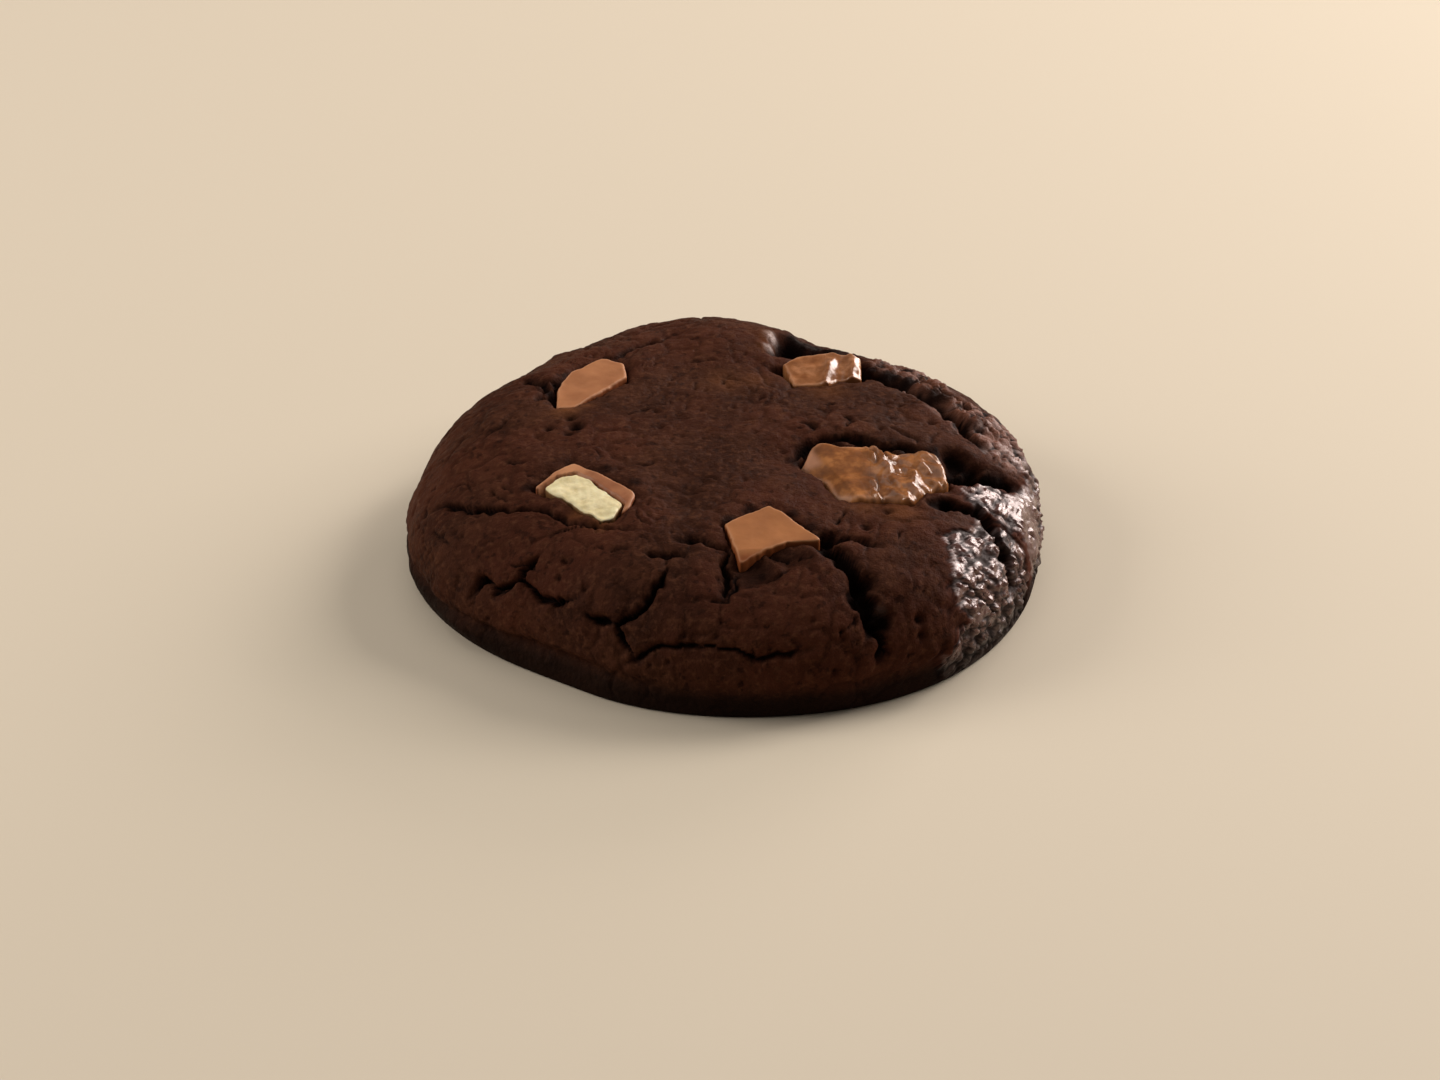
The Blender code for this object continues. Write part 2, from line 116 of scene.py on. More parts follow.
# Main cracks: half width, depth, and the path, unrolled.
CRACKS = {
    "left": (0.5, 1.5, (
        (-44, -10), (-41, -12), (-38, -16), (-34, -17), (-30, -18), (-27, -20), (-23, -24),
        (-19, -26), (-14, -28))),
    "lower_left": (0.6, 1.7, (
        (-43, -30), (-39, -29), (-37, -32), (-33, -33), (-31, -36), (-28, -39), (-23, -39))),
    "lower_left_branch": (0.55, 1.4, ((-33, -33), (-32, -31), (-29, -29))),
    "front": (0.6, 1.8, ((-9, -36), (-11, -40), (-14, -43), (-17, -45), (-23, -42))),
    "front_branch": (0.5, 1.3, ((-17, -45), (-16, -49))),
    "low_front": (0.52, 0.9, ((-18, -50), (-12, -49), (-7, -48), (1, -49), (6, -50), (13, -48))),
    "front_left_of_chunk": (0.55, 1.5, ((-7, -29), (-3, -30), (0, -32), (1, -37), (-1, -41))),
    "front_short": (0.45, 0.9, ((-12, -33), (-6, -33))),
    "front_right": (1.2, 3, (
        (13.5, -28.5), (15.5, -31), (18, -34.5), (19.5, -37.5), (21, -40), (23, -43.5),
        (25, -46.5))),
    "right_of_front_chunk": (0.6, 1.6, ((13, -26), (15, -28), (18, -27), (22, -28))),
    "right": (1.1, 3.8, (
        (30, -17), (32, -16), (37.5, -16), (40, -19), (42.5, -22), (45.5, -24.5), (47, -26))),
    "right_notch": (1.7, 3.4, ((32, -7.5), (35, -7.5), (38.5, -7), (42, -5.5), (45, -4.5))),
    "over_right_chunk": (0.75, 1.8, ((9, -7), (12, -3), (18, -2), (24, -3), (31, -4))),
    "upper_right": (1.1, 2.8, (
        (22.5, 26), (23.5, 22), (26, 18.5), (29.5, 16.5), (32, 13), (34.5, 8.5), (36.5, 4.5),
        (39, 1))),
    "upper_right_outer": (0.6, 1.4, ((31, 27), (33, 21), (37, 16), (39.5, 10), (42, 6))),
    "over_back_right_chunk": (1.5, 3.4, ((8.5, 27), (10, 29.5), (15, 29), (21, 27.5))),
    "over_back_left_chunk": (0.55, 1.6, (
        (-27, 10), (-27, 18), (-23, 24), (-17, 26), (-13, 29), (-7, 31))),
    "left_of_back_left_chunk": (0.8, 1.8, ((-32, 21), (-29, 17), (-28, 12))),
    "back": (0.6, 1.5, ((-26, 46), (-18, 49), (-9, 50), (0, 53), (9, 51), (15, 51))),
    "back_right": (0.6, 1.6, ((30, 44), (36, 40), (41, 37), (46, 30))),
    "back_left": (0.55, 1.3, ((-50, 18), (-47, 24), (-44, 33))),
}

# Fine cracks, which don't round off the dough beside them.
FINE_CRACKS = (
    (0.32, 0.7, ((-27, -26.5), (-25, -25.5), (-21, -25.5))),
    (0.35, 0.7, ((-33.5, -29), (-30, -31), (-30, -29))),
    (0.35, 0.6, ((-39.5, -29), (-38.5, -30))),
    (0.32, 0.6, ((-41, -30), (-42.5, -30.5))),
    (0.38, 0.8, ((-38.5, -32), (-36, -33.5), (-34.5, -33))),
    (0.32, 0.5, ((-41, -9), (-39, -9), (-38, -10), (-37.5, -12.5))),
    (0.35, 0.6, ((-32, -6), (-30.5, -7), (-29, -8))),
    (0.28, 0.45, ((-33, -12), (-31.5, -14))),
    (0.32, 0.6, ((-3, -41), (0.5, -41))),
    (0.4, 0.9, ((2.5, -36), (2, -38), (0.5, -40), (0, -41))),
    (0.35, 0.5, ((-4.5, 21.5), (-1, 22))),
    (0.45, 0.7, ((18, 5.5), (18.5, 3), (18, 1))),
    (0.4, 0.6, ((10.5, 3), (12, 2), (13, 0))),
    (0.4, 0.6, ((17, -20), (16, -24))),
    (0.35, 0.7, ((6, -31), (9, -32.5), (13, -32))),
    (0.45, 0.9, ((24, -43), (25, -45), (26, -45.5))),
    (0.32, 0.5, ((-45.5, -15.5), (-43.5, -18), (-42.5, -21))),
    (0.45, 0.8, ((27, 16), (29, 14.5), (31, 14), (32.5, 15.5))),
    (0.32, 0.5, ((-36, 2), (-33, 4), (-32, 7))),
    (0.3, 0.45, ((-12, 36), (-8, 38), (-3, 37))),
    (0.32, 0.5, ((24, 2), (27, 0), (28, -2))),
    (0.35, 0.6, ((6, -37), (9, -34.5))),
    (0.3, 0.5, ((-20, -31), (-17, -32.5), (-14, -32))),
)
CRACK_WIDTH = 0.85
CRACK_WIDTH_CHANGE = (1.8, 0.45, 65)
MAIN_CRACK_REACH = 7
FINE_CRACK_REACH = 1.5
CRACK_TAPER = 0.14
CRACK_END_STRENGTH = 0.25
CRACK_EDGE_POWER = 2.6
# How strongly painted shade darkens shallow and deep cracks.
SHALLOW_DARKNESS = 1.5
DEEP_DARKNESS = 1.1
EDGE_ROLL = 0.55
EDGE_ROLL_LENGTH = 1.8

# Cracklets that the baking leaves all over: how many, their step, width and depth.
CRACKLET_COUNT = 110
CRACKLET_FIELD = (4, 54)
CRACKLET_SPREAD = 0.6
CRACKLET_STEPS = (2, 6)
CRACKLET_TURN = 0.5
CRACKLET_STEP = 1.15
CRACKLET_WIDTH = (0.2, 0.36)
CRACKLET_DEPTH = (0.15, 0.5)
CRACKLET_SEED = 5

# Small pits: those that stand out, then how many more there are.
PITS = (
    (-26, 2, 0.6, 1.2), (-22, 2, 1, 1.8), (-23, 0, 0.75, 1.2), (-23, 4.5, 0.7, 1.2),
    (-25, -32, 0.55, 0.8), (-22, -38, 0.5, 0.7), (-40, -20.5, 0.45, 0.6), (-41, -19, 0.45, 0.6),
    (20, -24, 0.7, 1), (23, -20, 0.6, 0.9), (28.5, -39, 0.8, 1.1), (29.5, -41, 0.7, 0.9),
    (25, -45, 0.6, 0.9), (17.5, -50, 0.6, 0.8), (7, -48.5, 0.5, 0.7), (4.5, -50, 0.5, 0.7),
    (35.5, 13.5, 0.7, 1), (34, 8, 0.95, 1.3), (34.5, 3.5, 0.6, 0.9), (8.5, -5, 0.4, 0.6),
    (4.5, -0.5, 0.4, 0.5), (31, 5.5, 0.6, 0.8), (38.5, 6, 0.6, 0.8), (26, 17, 0.7, 1),
)
PIT_COUNT = 420
PIT_FIELD = 56
PIT_RADIUS = (0.22, 0.46)
PIT_DEPTH_TO_RADIUS = 1.2
PIT_SEED = 8

# Deeper hollows and swellings of the dough: place, radius, and depth or height.
HOLLOWS = (
    (11.4, 30.5, 3.2, 5.2), (15.2, 30.2, 3, 5), (19.2, 29, 2.5, 3.8), (8.6, 21.5, 1.3, 2.6),
    (14.8, -27, 1.1, 2), (23, -41, 1.5, 2.2), (19.5, -36, 1.8, 1.8), (4, -35.5, 3.4, 1.3),
    (9, -32, 2.6, 1), (23.6, 21.5, 1.3, 2.2), (27, 19, 2.2, 2.4), (29, 17.4, 1.5, 2.2),
    (32.8, 13.6, 2.3, 2.4), (31.2, 15, 1.2, 1.8), (36.3, 5, 1.3, 1.5), (34.2, -4.2, 2.3, 2.6),
    (37, -5.6, 1.9, 2.4), (34.2, -8.5, 1.8, 2.8), (14.5, 35.5, 3.4, 0.7),
)
HOLLOW_EDGE_POWER = 3.5

# Places deep under the rims of the hollows, which stay dark: place, radius and darkness.
DEEP_SHADE = (
    (12, 34.5, 3, 1), (15.3, 34.8, 3, 1), (18.3, 33, 2.8, 1), (10, 31, 2.2, 1),
    (34.5, -4.5, 2.4, 0.9), (37, -5.5, 2, 0.9), (23.8, 24, 1.6, 0.9), (26.5, 22.4, 2.2, 1),
    (29.4, 20.6, 1.9, 1), (33.2, 17, 2.4, 1), (36.2, 13, 1.3, 0.9), (38.5, 8, 1.3, 0.8),
    (-27, 14.5, 1.6, 0.9), (-26, 18, 1.4, 0.9), (-24, 21, 1.4, 0.9), (-21.3, 23.6, 1.4, 0.9),
    (-17.6, 24.6, 1.2, 0.8), (0.6, -24.6, 1.2, 0.8), (4, -21.9, 1.2, 0.8), (9.2, -21.6, 1.2, 0.8),
    (11.8, -24.6, 1.2, 0.8), (14.2, -27.2, 1.3, 0.9), (10.2, -7, 1.3, 0.8), (12, -3.6, 1.4, 0.8),
    (16, -2.2, 1.4, 0.9), (21, -2, 1.4, 0.9), (26, -3.6, 1.4, 0.9), (30.5, -3.6, 1.6, 0.9),
    (-29, -13.5, 1.2, 0.8), (-22.5, -7.9, 1.1, 0.6), (-17.6, -10.8, 1.1, 0.7),
    (-14, -14.8, 1.1, 0.7),
)
SWELLINGS = (
    (-24.5, -18.5, 2.2, 0.9), (-20, -23.5, 2.2, 0.9), (35.2, -40, 1.4, 0.8),
    (19.4, -37, 0.7, 0.9), (33, -42.5, 1, 0.5), (7, 32, 1.6, 0.5), (6.6, 28, 1.4, 0.4),
    (6.5, 24.5, 1.2, 0.4), (26, -34, 0.8, 0.4), (30, 10, 3, 0.5), (37, 9, 3.5, 0.5),
)

# The uneven soft edge of a place that is given by circles.
ZONE_EDGE = ((4, 2, 71), (1.5, 0.9, 72))
ZONE_SOFTNESS = 2.2

# The rough, shiny crust at the right rim: circles that it fills, and its pebbles and clots,
# each with their grain and their seam, roundness and share of the height.
CRUST_PLACES = (
    (43.5, -27.5, 13.5), (41.5, -12, 7.5), (49.5, -10, 9), (40.5, -38.5, 8), (50.5, 2, 6),
)
CRUST_SOFTNESS = 3
CRUST_CORE = 0.65
CRUST_HEIGHT = 0.72
CRUST_SLANT = math.radians(55)
CRUST_GRAIN = 1.4
CRUST_STRETCH = 1.45
CRUST_SEED = 51
CRUST_PEBBLES = (0.7, 0.5, 0.65)
CLOT_GRAIN = 2.94
CLOT_STRETCH = 1.3
CLOT_SEED = 54
CRUST_CLOTS = (0.5, 0.5, 0.45)
CRUST_SWAY = (2, 0.5, 51)
CRUST_LUMPS = (3, 0.35, 53)
PEBBLE_SIZE = 0.7
PEBBLE_SIZE_CHANGE = (1.8, 0.5, 52)
LOW_PEBBLES_FROM = 46
LOW_PEBBLE_FADE = 5
LOW_PEBBLE_GAIN = 0.6
# The gaps between the pebbles, which are painted dark: painted shade.
PEBBLE_GAP_LEVEL = 0.5
PEBBLE_GAP_SOFTNESS = 0.3

# Where the crust is smoother and shines more: circles.
SHEEN_PLACES = ((46, -8.5, 6.5), (49.5, -15.5, 5.5), (46, 4, 4))
SHEEN_FLATNESS = 0.45
SHEEN_CLOSES = 0.7
SHEEN_SMOOTHNESS = 0.6

# How far down the side the crust gets drier.
LOW_SIDE = 55.5
LOW_SIDE_FADE = 4
LOW_SIDE_DRYNESS = 0.85

# Small wet places: melted chocolate in cracks and on crests.
GLOSSY_SPOTS = (
    (7.4, 32, 1.3, 0.9), (7, 28.5, 1, 0.8), (19.4, -37, 1, 1), (22.5, -40, 1.2, 0.8),
    (38.5, 6.2, 1.6, 0.7), (36, 14, 1.4, 0.5), (40, 1.5, 1.8, 0.7), (42, 12, 2.5, 0.5),
    (45, 3.5, 3.6, 0.9),
)
GLOSS_EDGE_POWER = 4

# The crumbly, reddish lobe at the upper right, whose gaps get painted shade.
LOBE_PLACES = ((38, 10, 8.5), (33, 17, 6.5), (43, 3, 5), (31, 26, 5.5))
LOBE_HEIGHT = 0.74
LOBE_BEND = (1.4, 0.8, 55)
LOBE_GRAIN = 2.6
LOBE_SEED = 53
LOBE_CRUMBS = (0.4, 0.3, 0.75)
FINE_LOBE_GRAIN = 1.17
FINE_LOBE_SEED = 58
FINE_LOBE_CRUMBS = (0.6, 0, 0.3)
LOBE_ROUGHNESS = ((0.8, 0.24, 53), (2.6, 0.5, 54))
LOBE_GAP_PATCHES = (2, 1.2, 57)
LOBE_GAP_SHARE = 0.8
LOBE_GAP_LEVEL = 0.62
LOBE_GAP_SOFTNESS = 0.35
LOBE_GLOSS = 0.2
LOBE_GRAININESS = 0.25

# How much painted shade darkens each kind of gap, and what the cracks and crust take from others.
NET_DARKNESS = 1.3
PIT_DARKNESS = 0.8
HOLLOW_DARKNESS = 0.55
PEBBLE_GAP_DARKNESS = 0.9
CRACK_DRYNESS = 0.95
CRUST_HIDES_NET = 0.8

# The crease above the foot at the front left, and the painted shade of the foot all round.
FOOT_CREASE_FROM = math.radians(-205)
FOOT_CREASE_TO = math.radians(-95)
FOOT_CREASE_PATH = 56.2
FOOT_CREASE_WIDTH = 0.9
FOOT_CREASE_DEPTH = 1.1
FOOT_CREASE_TAPER = 0.25
FOOT_CREASE_SWAY = (3, 0.7, 81)
FOOT_CREASE_TURN = 20
FOOT_SHADE_LENGTH = 3.5

# Chocolate that has melted into the dough beside the chunks.
SMEARS = (
    (-24, 7.5, 2, 0.9), (-21, 9, 1.5, 0.6), (-22.5, -21.5, 1.6, 0.7), (-19.5, -25, 1.6, 0.6),
    (25, -20, 2.5, 0.6), (20, -19, 2, 0.5), (7, 31.5, 2, 0.8), (6.8, 28, 1.8, 0.7),
    (16, 14.5, 3, 0.45), (0, 16, 3, 0.4), (4.5, 17, 2.5, 0.35),
)

# Where the gap between the dough and a chunk opens.
OPEN_GAPS = (
    (-26.5, 14.5, 5, 1.3), (-22.5, 21.5, 4.5, 1.2), (-16, -14, 4, 0.4), (-28.5, -13, 3, 0.45),
    (9.5, -23, 4.5, 0.5), (0.5, -27, 4, 0.55), (17, -2.5, 7, 0.5), (28, -3.5, 5, 0.6),
    (33.5, -10, 4, 0.7), (8.5, 20, 3.5, 0.6), (22, 22, 4, 0.7), (14, 26.5, 5, 0.8),
)
GAP_UNEVENNESS = (1.4, 0.3, 77)

# Where the dough meets a chunk.
CHUNK_MOAT_DEPTH = 0.5
CHUNK_MOAT_WIDTH = 1.4
POCKET_DEPTH = 7.6
POCKET_GAP = -0.2
POCKET_SLOPE = 0.65
CHUNK_REACH = 9

DOUGH_RINGS = 148
AT_THE_FOOT = 0.9999

# The flat underside, which lifts a little inside its edge.
UNDERSIDE_RINGS = 4
UNDERSIDE_EDGE = 12
UNDERSIDE_LIFT = 0.125
UNDERSIDE_LUMPS = (5, 0.125, 91)

# Chunks: corners from above, height of the top face at its middle, the rise of that face
# to the right and to the back, depth and roundness of the top edge.
CHUNKS = {
    "chunk_back_left": {
        "corners": ((-25.5, 9), (-25.5, 13.5), (-25, 16.5), (-23.5, 19.5), (-19, 23.5),
                    (-15.5, 22), (-15, 18), (-18.5, 14), (-23, 9)),
        "top": 20.5, "rise_x": 0, "rise_y": 0.05, "depth": 6, "edge": 0.45,
    },
    "filled_chunk_shell": {
        "corners": ((-28, -14), (-25.5, -11), (-22.5, -9), (-18.5, -12), (-15, -15.5), (-13, -18),
                    (-14, -21), (-16, -23.5), (-18, -23.5), (-20.5, -21), (-23.5, -18),
                    (-26, -16)),
        "top": 20.5, "rise_x": 0.12, "rise_y": 0.12, "depth": 6.5, "edge": 0.35,
    },
    "filled_chunk_cream": {
        "corners": ((-26.5, -14.5), (-24.5, -12.5), (-22, -12), (-20, -13.5), (-18.5, -15.5),
                    (-16.5, -18), (-15, -20), (-15.5, -22), (-16.5, -23.5), (-18, -23.5),
                    (-20.5, -21), (-23, -18), (-25.5, -16)),
        "top": 20.6, "rise_x": 0.12, "rise_y": 0.12, "depth": 5, "edge": 0.35,
    },
    "chunk_front": {
        "corners": ((0, -25.5), (2, -23.5), (6.5, -21), (8, -22), (14, -29), (9, -29.5),
                    (5.5, -31.5), (2.2, -33.6), (1.2, -30)),
        "top": 20.2, "rise_x": 0, "rise_y": 0.12, "depth": 6, "edge": 0.35,
    },
    "chunk_right": {
        "corners": ((11, -7.5), (12.5, -5), (14, -3), (17, -4), (21, -3.5), (26, -5.5),
                    (30.5, -5), (32.5, -8), (33, -13), (30, -15), (27.5, -18.5), (24, -18),
                    (18.5, -17.5), (16, -16), (14.5, -12), (11.5, -9)),
        "top": 20.6, "rise_x": -0.02, "rise_y": 0.08, "depth": 7, "edge": 0.9,
    },
    "chunk_back_right": {
        "corners": ((9, 22), (11, 24), (17, 25.5), (21, 24), (21, 18), (17.5, 17.5), (16, 16),
                    (10.5, 16), (10, 18)),
        "top": 20.5, "rise_x": 0, "rise_y": 0.08, "depth": 6.5, "edge": 0.5,
    },
}

# The line where the front piece's face bends, how steeply it then falls, and its painted shade.
FACET_LINE = ((2, -31.8), (14, -28.8))
FACET_SLOPE = 0.4
FACET_BOW = (3, 0.35, 103)
FACET_FADE = 1.4

# The hollow of the shell that the cream stands in.
SHELL_POCKET = ((-27.4, -14.2), (-24.9, -11.9), (-21.9, -11.3), (-19.6, -13.2), (-18.1, -15.2),
                (-16, -17.8), (-14.5, -20), (-15, -22), (-15, -25), (-19, -27), (-25, -21.5),
                (-28.5, -16.5))
SHELL_FLOOR_GAP = 0.3
SHELL_WALL_SLOPE = 0.35
SHELL_RIM = 0.93
SHELL_RIM_FADE = 0.05

# The chunks that stand in a pocket of the dough.
POCKETS = ("chunk_back_left", "filled_chunk_shell", "chunk_front", "chunk_right",
           "chunk_back_right")

# Where the two melted pieces start to be wet, from left to right.
WET_FROM_ON_RIGHT = 19.8
WET_FROM_ON_BACK_RIGHT = 14
WET_FADE = 3

# The relief of the pieces of chocolate and of the cream.
FLAT_RELIEF = ((3, 0.07, 101), (0.9, 0.02, 102))
CREAM_RELIEF = ((1.6, 0.16, 105), (0.7, 0.09, 106))
CREAM_DROP = 0.2
CHIPS = (1.3, 0.1, 131)
CHIPS_FROM = 0.6
CHIPS_FADE = 0.2
RIM_UNEVENNESS = ((1.2, 0.12, 133), (0.5, 0.06, 134))

# The large melted piece: ridges as place, lean, half width and height; wrinkles; left tip.
MELTED_RIDGES = ((24, -10, -0.3, 1.2, 0.55), (28.5, -10, 0.2, 0.9, 0.45))
MELTED_DIP = (-10.5, 18, 0.15, 2.2, 0.3)
MELTED_LUMPS = (4.5, 0.32, 113)
MELTED_DROP = 0.35
MELTED_GRAIN = (0.8, 0.12, 114)
DRY_GRAIN_SHARE = 1 / 3
WRINKLES = (1.15, 0.8, 112)
WRINKLE_LEAN = 0.45
WRINKLE_STRETCH = 0.35
WRINKLE_SWAY = (2, 0.8, 111)
TIP_LINE = (14.6, -7.5)
TIP_LEAN = 0.5
TIP_SLOPE = 0.55
# Where the pale tip, a painted highlight, fades out at the front.
TIP_FRONT = -9
TIP_FADE = 1.5

# The glossy piece at the back: its two raised edges and the lower face between them.
BACK_RIDGES = ((15.8, 20, 0.15, 0.75, 0.6), (19.8, 20, 0, 0.8, 0.65))
BACK_SWAY = (2.2, 0.35, 122)
BACK_LUMPS = (1.6, 0.1, 121)
BACK_RIDGE_END = 24
BACK_RIDGE_FADE = 3
BACK_STEP = 0.3
BACK_STEP_FROM = 16.5
BACK_STEP_FADE = 1.5

# How fine a chunk is, how round its corners are and where its waist is.
CHUNK_RINGS = 44
CORNER_ROUNDING = math.radians(2.2)
CORNER_STEPS = 7
CHUNK_WAIST = 0.5

# Stops from the middle of a chunk's top, 0, to its lower edge, 1: how wide the chunk is
# there, how far its rounded edge lies in, and how far that edge drops before the waist.
CHUNK_STOPS = (0, 0.72, 0.755, 0.79, 0.82, 0.85, 0.92, 1)
CHUNK_SPREAD = (0, 1, 1, 1, 1, 1, 1, 0.86)
EDGE_INSET = (0, 1, 0.62, 0.29, 0.08, 0, 0, 0)
EDGE_DROP = (0, 0, 0.08, 0.29, 0.62, 1, 1, 1)
# Where the sides begin (painted shade on plain chocolate) and the ring of the edge's painted
# highlight.
SIDE_FROM = 0.79
SIDE_FADE = 0.06
EDGE_HIGHLIGHT_AT = 0.755
EDGE_HIGHLIGHT_WIDTH = 0.035

# The camera: the place it stands, how far it looks down, and its lens on a 36 mm sensor.
CAMERA_PLACE = (-0.55, -585.6, 357.7)
CAMERA_LOOKS_DOWN = math.radians(31.35)
CAMERA_LENS = 112.4
SENSOR_WIDTH = 36.0
CAMERA_NEAR_END = 0.01

# Textures: lumps in a metre, octaves and roughness. Bump sizes: reach in metres and strength.
DOUGH_PATCHES = (130.0, 4.0, 0.65)
DOUGH_TONES = (
    (0.30, (0.026, 0.0086, 0.0046)),
    (0.50, (0.039, 0.0132, 0.0070)),
    (0.70, (0.058, 0.0202, 0.0104)),
)

# Broad reddish patches, light specks and dark dots: texture, where it shows, share, colour.
DOUGH_SPECKLES = (
    ((55.0, 2.0), ((0.42, 0.0), (0.60, 1.0)), 0.45, (0.068, 0.0180, 0.0090)),
    ((1100.0, 3.0), ((0.50, 0.0), (0.72, 1.0)), 0.50, (0.105, 0.0400, 0.0200)),
    ((620.0, 3.0), ((0.34, 1.0), (0.41, 0.0)), 0.55, (0.012, 0.0040, 0.0025)),
)

# The colours that the marks bring, from the lowest layer to the highest: share and colour.
DOUGH_TINTS = (
    ("smear", 0.80, (0.150, 0.0520, 0.0180)),
    # The lobe's lighter reddish colour is partly its own and partly painted light from behind.
    ("lobe", 0.70, (0.165, 0.0520, 0.0240)),
    ("crust", 0.70, (0.085, 0.0240, 0.0155)),
    # The last two darken the lower side and the cracks, pits, hollows and gaps: painted shade.
    ("foot", 0.86, (0.009, 0.0050, 0.0035)),
    ("painted_shade", 0.95, (0.003, 0.0012, 0.0009)),
)
DOUGH_WEAR = (260.0, 3.0)
DOUGH_ROUGHNESS = ((0.3, 0.50), (0.7, 0.68))
WET_DOUGH_ROUGHNESS = 0.22
DOUGH_SPECULAR_TINT = (1.0, 0.82, 0.78)
DOUGH_GLOSS = (0.020, 0.95)
MEDIUM_DOUGH_BUMPS = (900.0, 5.0, 0.65)
MEDIUM_DOUGH_BUMP_SIZE = (0.00045, 0.9)
FINE_DOUGH_BUMPS = (3200.0, 3.0)
FINE_DOUGH_BUMP_SIZE = (0.00015, 0.6)
CRUST_CELLS = 900.0
CRUST_CELL_BUMP_SIZE = (0.0006, 0.8)

# Plain chocolate: material name, darkest and lightest tone, roughness and gloss.
BACK_LEFT_CHOCOLATE = ("milk_chocolate_back_left", (0.272, 0.103, 0.041),
                       (0.385, 0.159, 0.067), 0.50, 0.12)
FRONT_CHOCOLATE = ("milk_chocolate_front", (0.265, 0.098, 0.034), (0.365, 0.140, 0.049),
                   0.50, 0.12)
SHELL_CHOCOLATE = ("shell_chocolate", (0.25, 0.085, 0.034), (0.47, 0.205, 0.092), 0.45, 0.20)
CHOCOLATE_MOTTLE = (220.0, 3.0)
CHOCOLATE_TONE_STOPS = (0.30, 0.72)
# The sides and the front piece's bent face are painted darker: painted shade.
CHOCOLATE_SHADOW = (0.66, 0.36, 0.22)
CHOCOLATE_SIDE_SHARE = 0.75
# The top edge is painted lighter: a painted highlight.
CHOCOLATE_EDGE_SHARE = 0.45
PAINTED_EDGE_HIGHLIGHT = (0.56, 0.27, 0.145)
CHOCOLATE_WEAR = (500.0, 2.0)
CHOCOLATE_WEAR_STOPS = (0.3, 0.7)
ROUGHNESS_CHANGE = 0.07
CHOCOLATE_DEPTH = (0.08, (0.0008, 0.0004, 0.0002))
CHOCOLATE_BUMPS = (900.0, 3.0)
CHOCOLATE_BUMP_SIZE = (0.0001, 0.4)

# The darkest, the middle and the lightest tone of the two melted pieces.
RIGHT_TONES = ((0.122, 0.038, 0.0085), (0.188, 0.061, 0.0140), (0.335, 0.124, 0.0335))
BACK_TONES = ((0.155, 0.048, 0.0120), (0.225, 0.080, 0.0250), (0.360, 0.150, 0.0640))
MELTED_MOTTLE = (330.0, 4.0, 0.6)
MELTED_TONE_STOPS = (0.36, 0.50, 0.66)
# Marks on the melted pieces: a browner side, and the edge and tip paler as painted highlights.
MELTED_TINTS = (
    ("side", 0.70, (0.270, 0.100, 0.034)),
    ("edge", 0.40, PAINTED_EDGE_HIGHLIGHT),
    ("tip", 0.70, (0.500, 0.235, 0.135)),
)
MELTED_SPECULAR_TINT = (1.0, 0.90, 0.84)
MELTED_ROUGHNESS = (0.38, 0.20)
MELTED_GLOSS = (0.16, 0.55)
MELTED_BUMPS = (700.0, 2.0)
MELTED_BUMP_SIZE = (0.0002, 0.4)

# The cream filling.
CREAM_MOTTLE = (420.0, 3.0)
CREAM_TONES = (
    (0.30, (0.60, 0.48, 0.25)),
    (0.50, (0.74, 0.62, 0.36)),
    (0.70, (0.82, 0.73, 0.47)),
)
CREAM_SIDE = (0.150, 0.065, 0.020)
CREAM_ROUGHNESS = 0.5
CREAM_GLOSS = 0.25
CREAM_DEPTH = (0.15, (0.0015, 0.0010, 0.0005))
CREAM_BUMPS = (1400.0, 3.0)
CREAM_BUMP_SIZE = (0.0002, 0.5)

# The floor, a square.
FLOOR_SIZE = 6.0
FLOOR_COLOUR = (0.60, 0.51, 0.395)
FLOOR_ROUGHNESS = 0.7
FLOOR_GLOSS = 0.2

# Soft lights: name, place, height of the aim over the floor's middle, size, watts, colour.
LIGHTS = (
    ("window", (0.75, 0.42, 0.62), 0.01, (0.40, 0.40), 7.0, (1.0, 0.97, 0.93)),
    ("overhead", (-0.15, 0.35, 1.1), 0.0, (1.1, 1.1), 3.2, (1.0, 0.98, 0.95)),
    ("low_window", (0.62, 0.78, 0.26), 0.01, (0.55, 0.36), 6.6, (1.0, 0.91, 0.87)),
    ("right_window", (0.85, 0.30, 0.32), 0.01, (0.30, 0.25), 3.0, (1.0, 0.95, 0.92)),
    ("left_fill", (-0.8, 0.0, 0.45), 0.01, (0.5, 0.5), 5.0, (1.0, 0.97, 0.93)),
)
SURROUND_COLOUR = (1.0, 0.97, 0.93)
SURROUND_STRENGTH = 0.16


def soft_noise(x, y, grain, seed):
    """Return smooth noise between -1 and 1, with lumps about one grain apart."""
    size = NOISE_TABLE_SIZE
    table = np.random.default_rng(seed).uniform(-1.0, 1.0, (size, size))
    u = x / grain + size / 2
    v = y / grain + size / 2
    column = np.floor(u).astype(int)
    row = np.floor(v).astype(int)
    across = smooth_step(u - column)
    along = smooth_step(v - row)
    column = column % size
    row = row % size
    next_column = (column + 1) % size
    next_row = (row + 1) % size
    near = table[row, column] * (1 - across) + table[row, next_column] * across
    far = table[next_row, column] * (1 - across) + table[next_row, next_column] * across
    return near * (1 - along) + far * along


def smooth_step(value):
    """Ease a value from 0 to 1."""
    value = np.clip(value, 0.0, 1.0)
    return value * value * (3.0 - 2.0 * value)


def toward(distance, angle):
    """Return how far across and how far along a place lies in the given direction."""
    return distance * np.cos(angle), distance * np.sin(angle)


def uneven(x, y, *layers):
    """Return the sum of layers of smooth noise, each given as its grain, height and seed."""
    return sum(height * soft_noise(x, y, grain, seed) for grain, height, seed in layers)


def bend(x, y, layer):
    """Return points moved sideways by smooth noise, given as its grain, height and seed."""
    grain, height, seed = layer
    return x + uneven(x, y, layer), y + uneven(x, y, (grain, height, seed + 1))


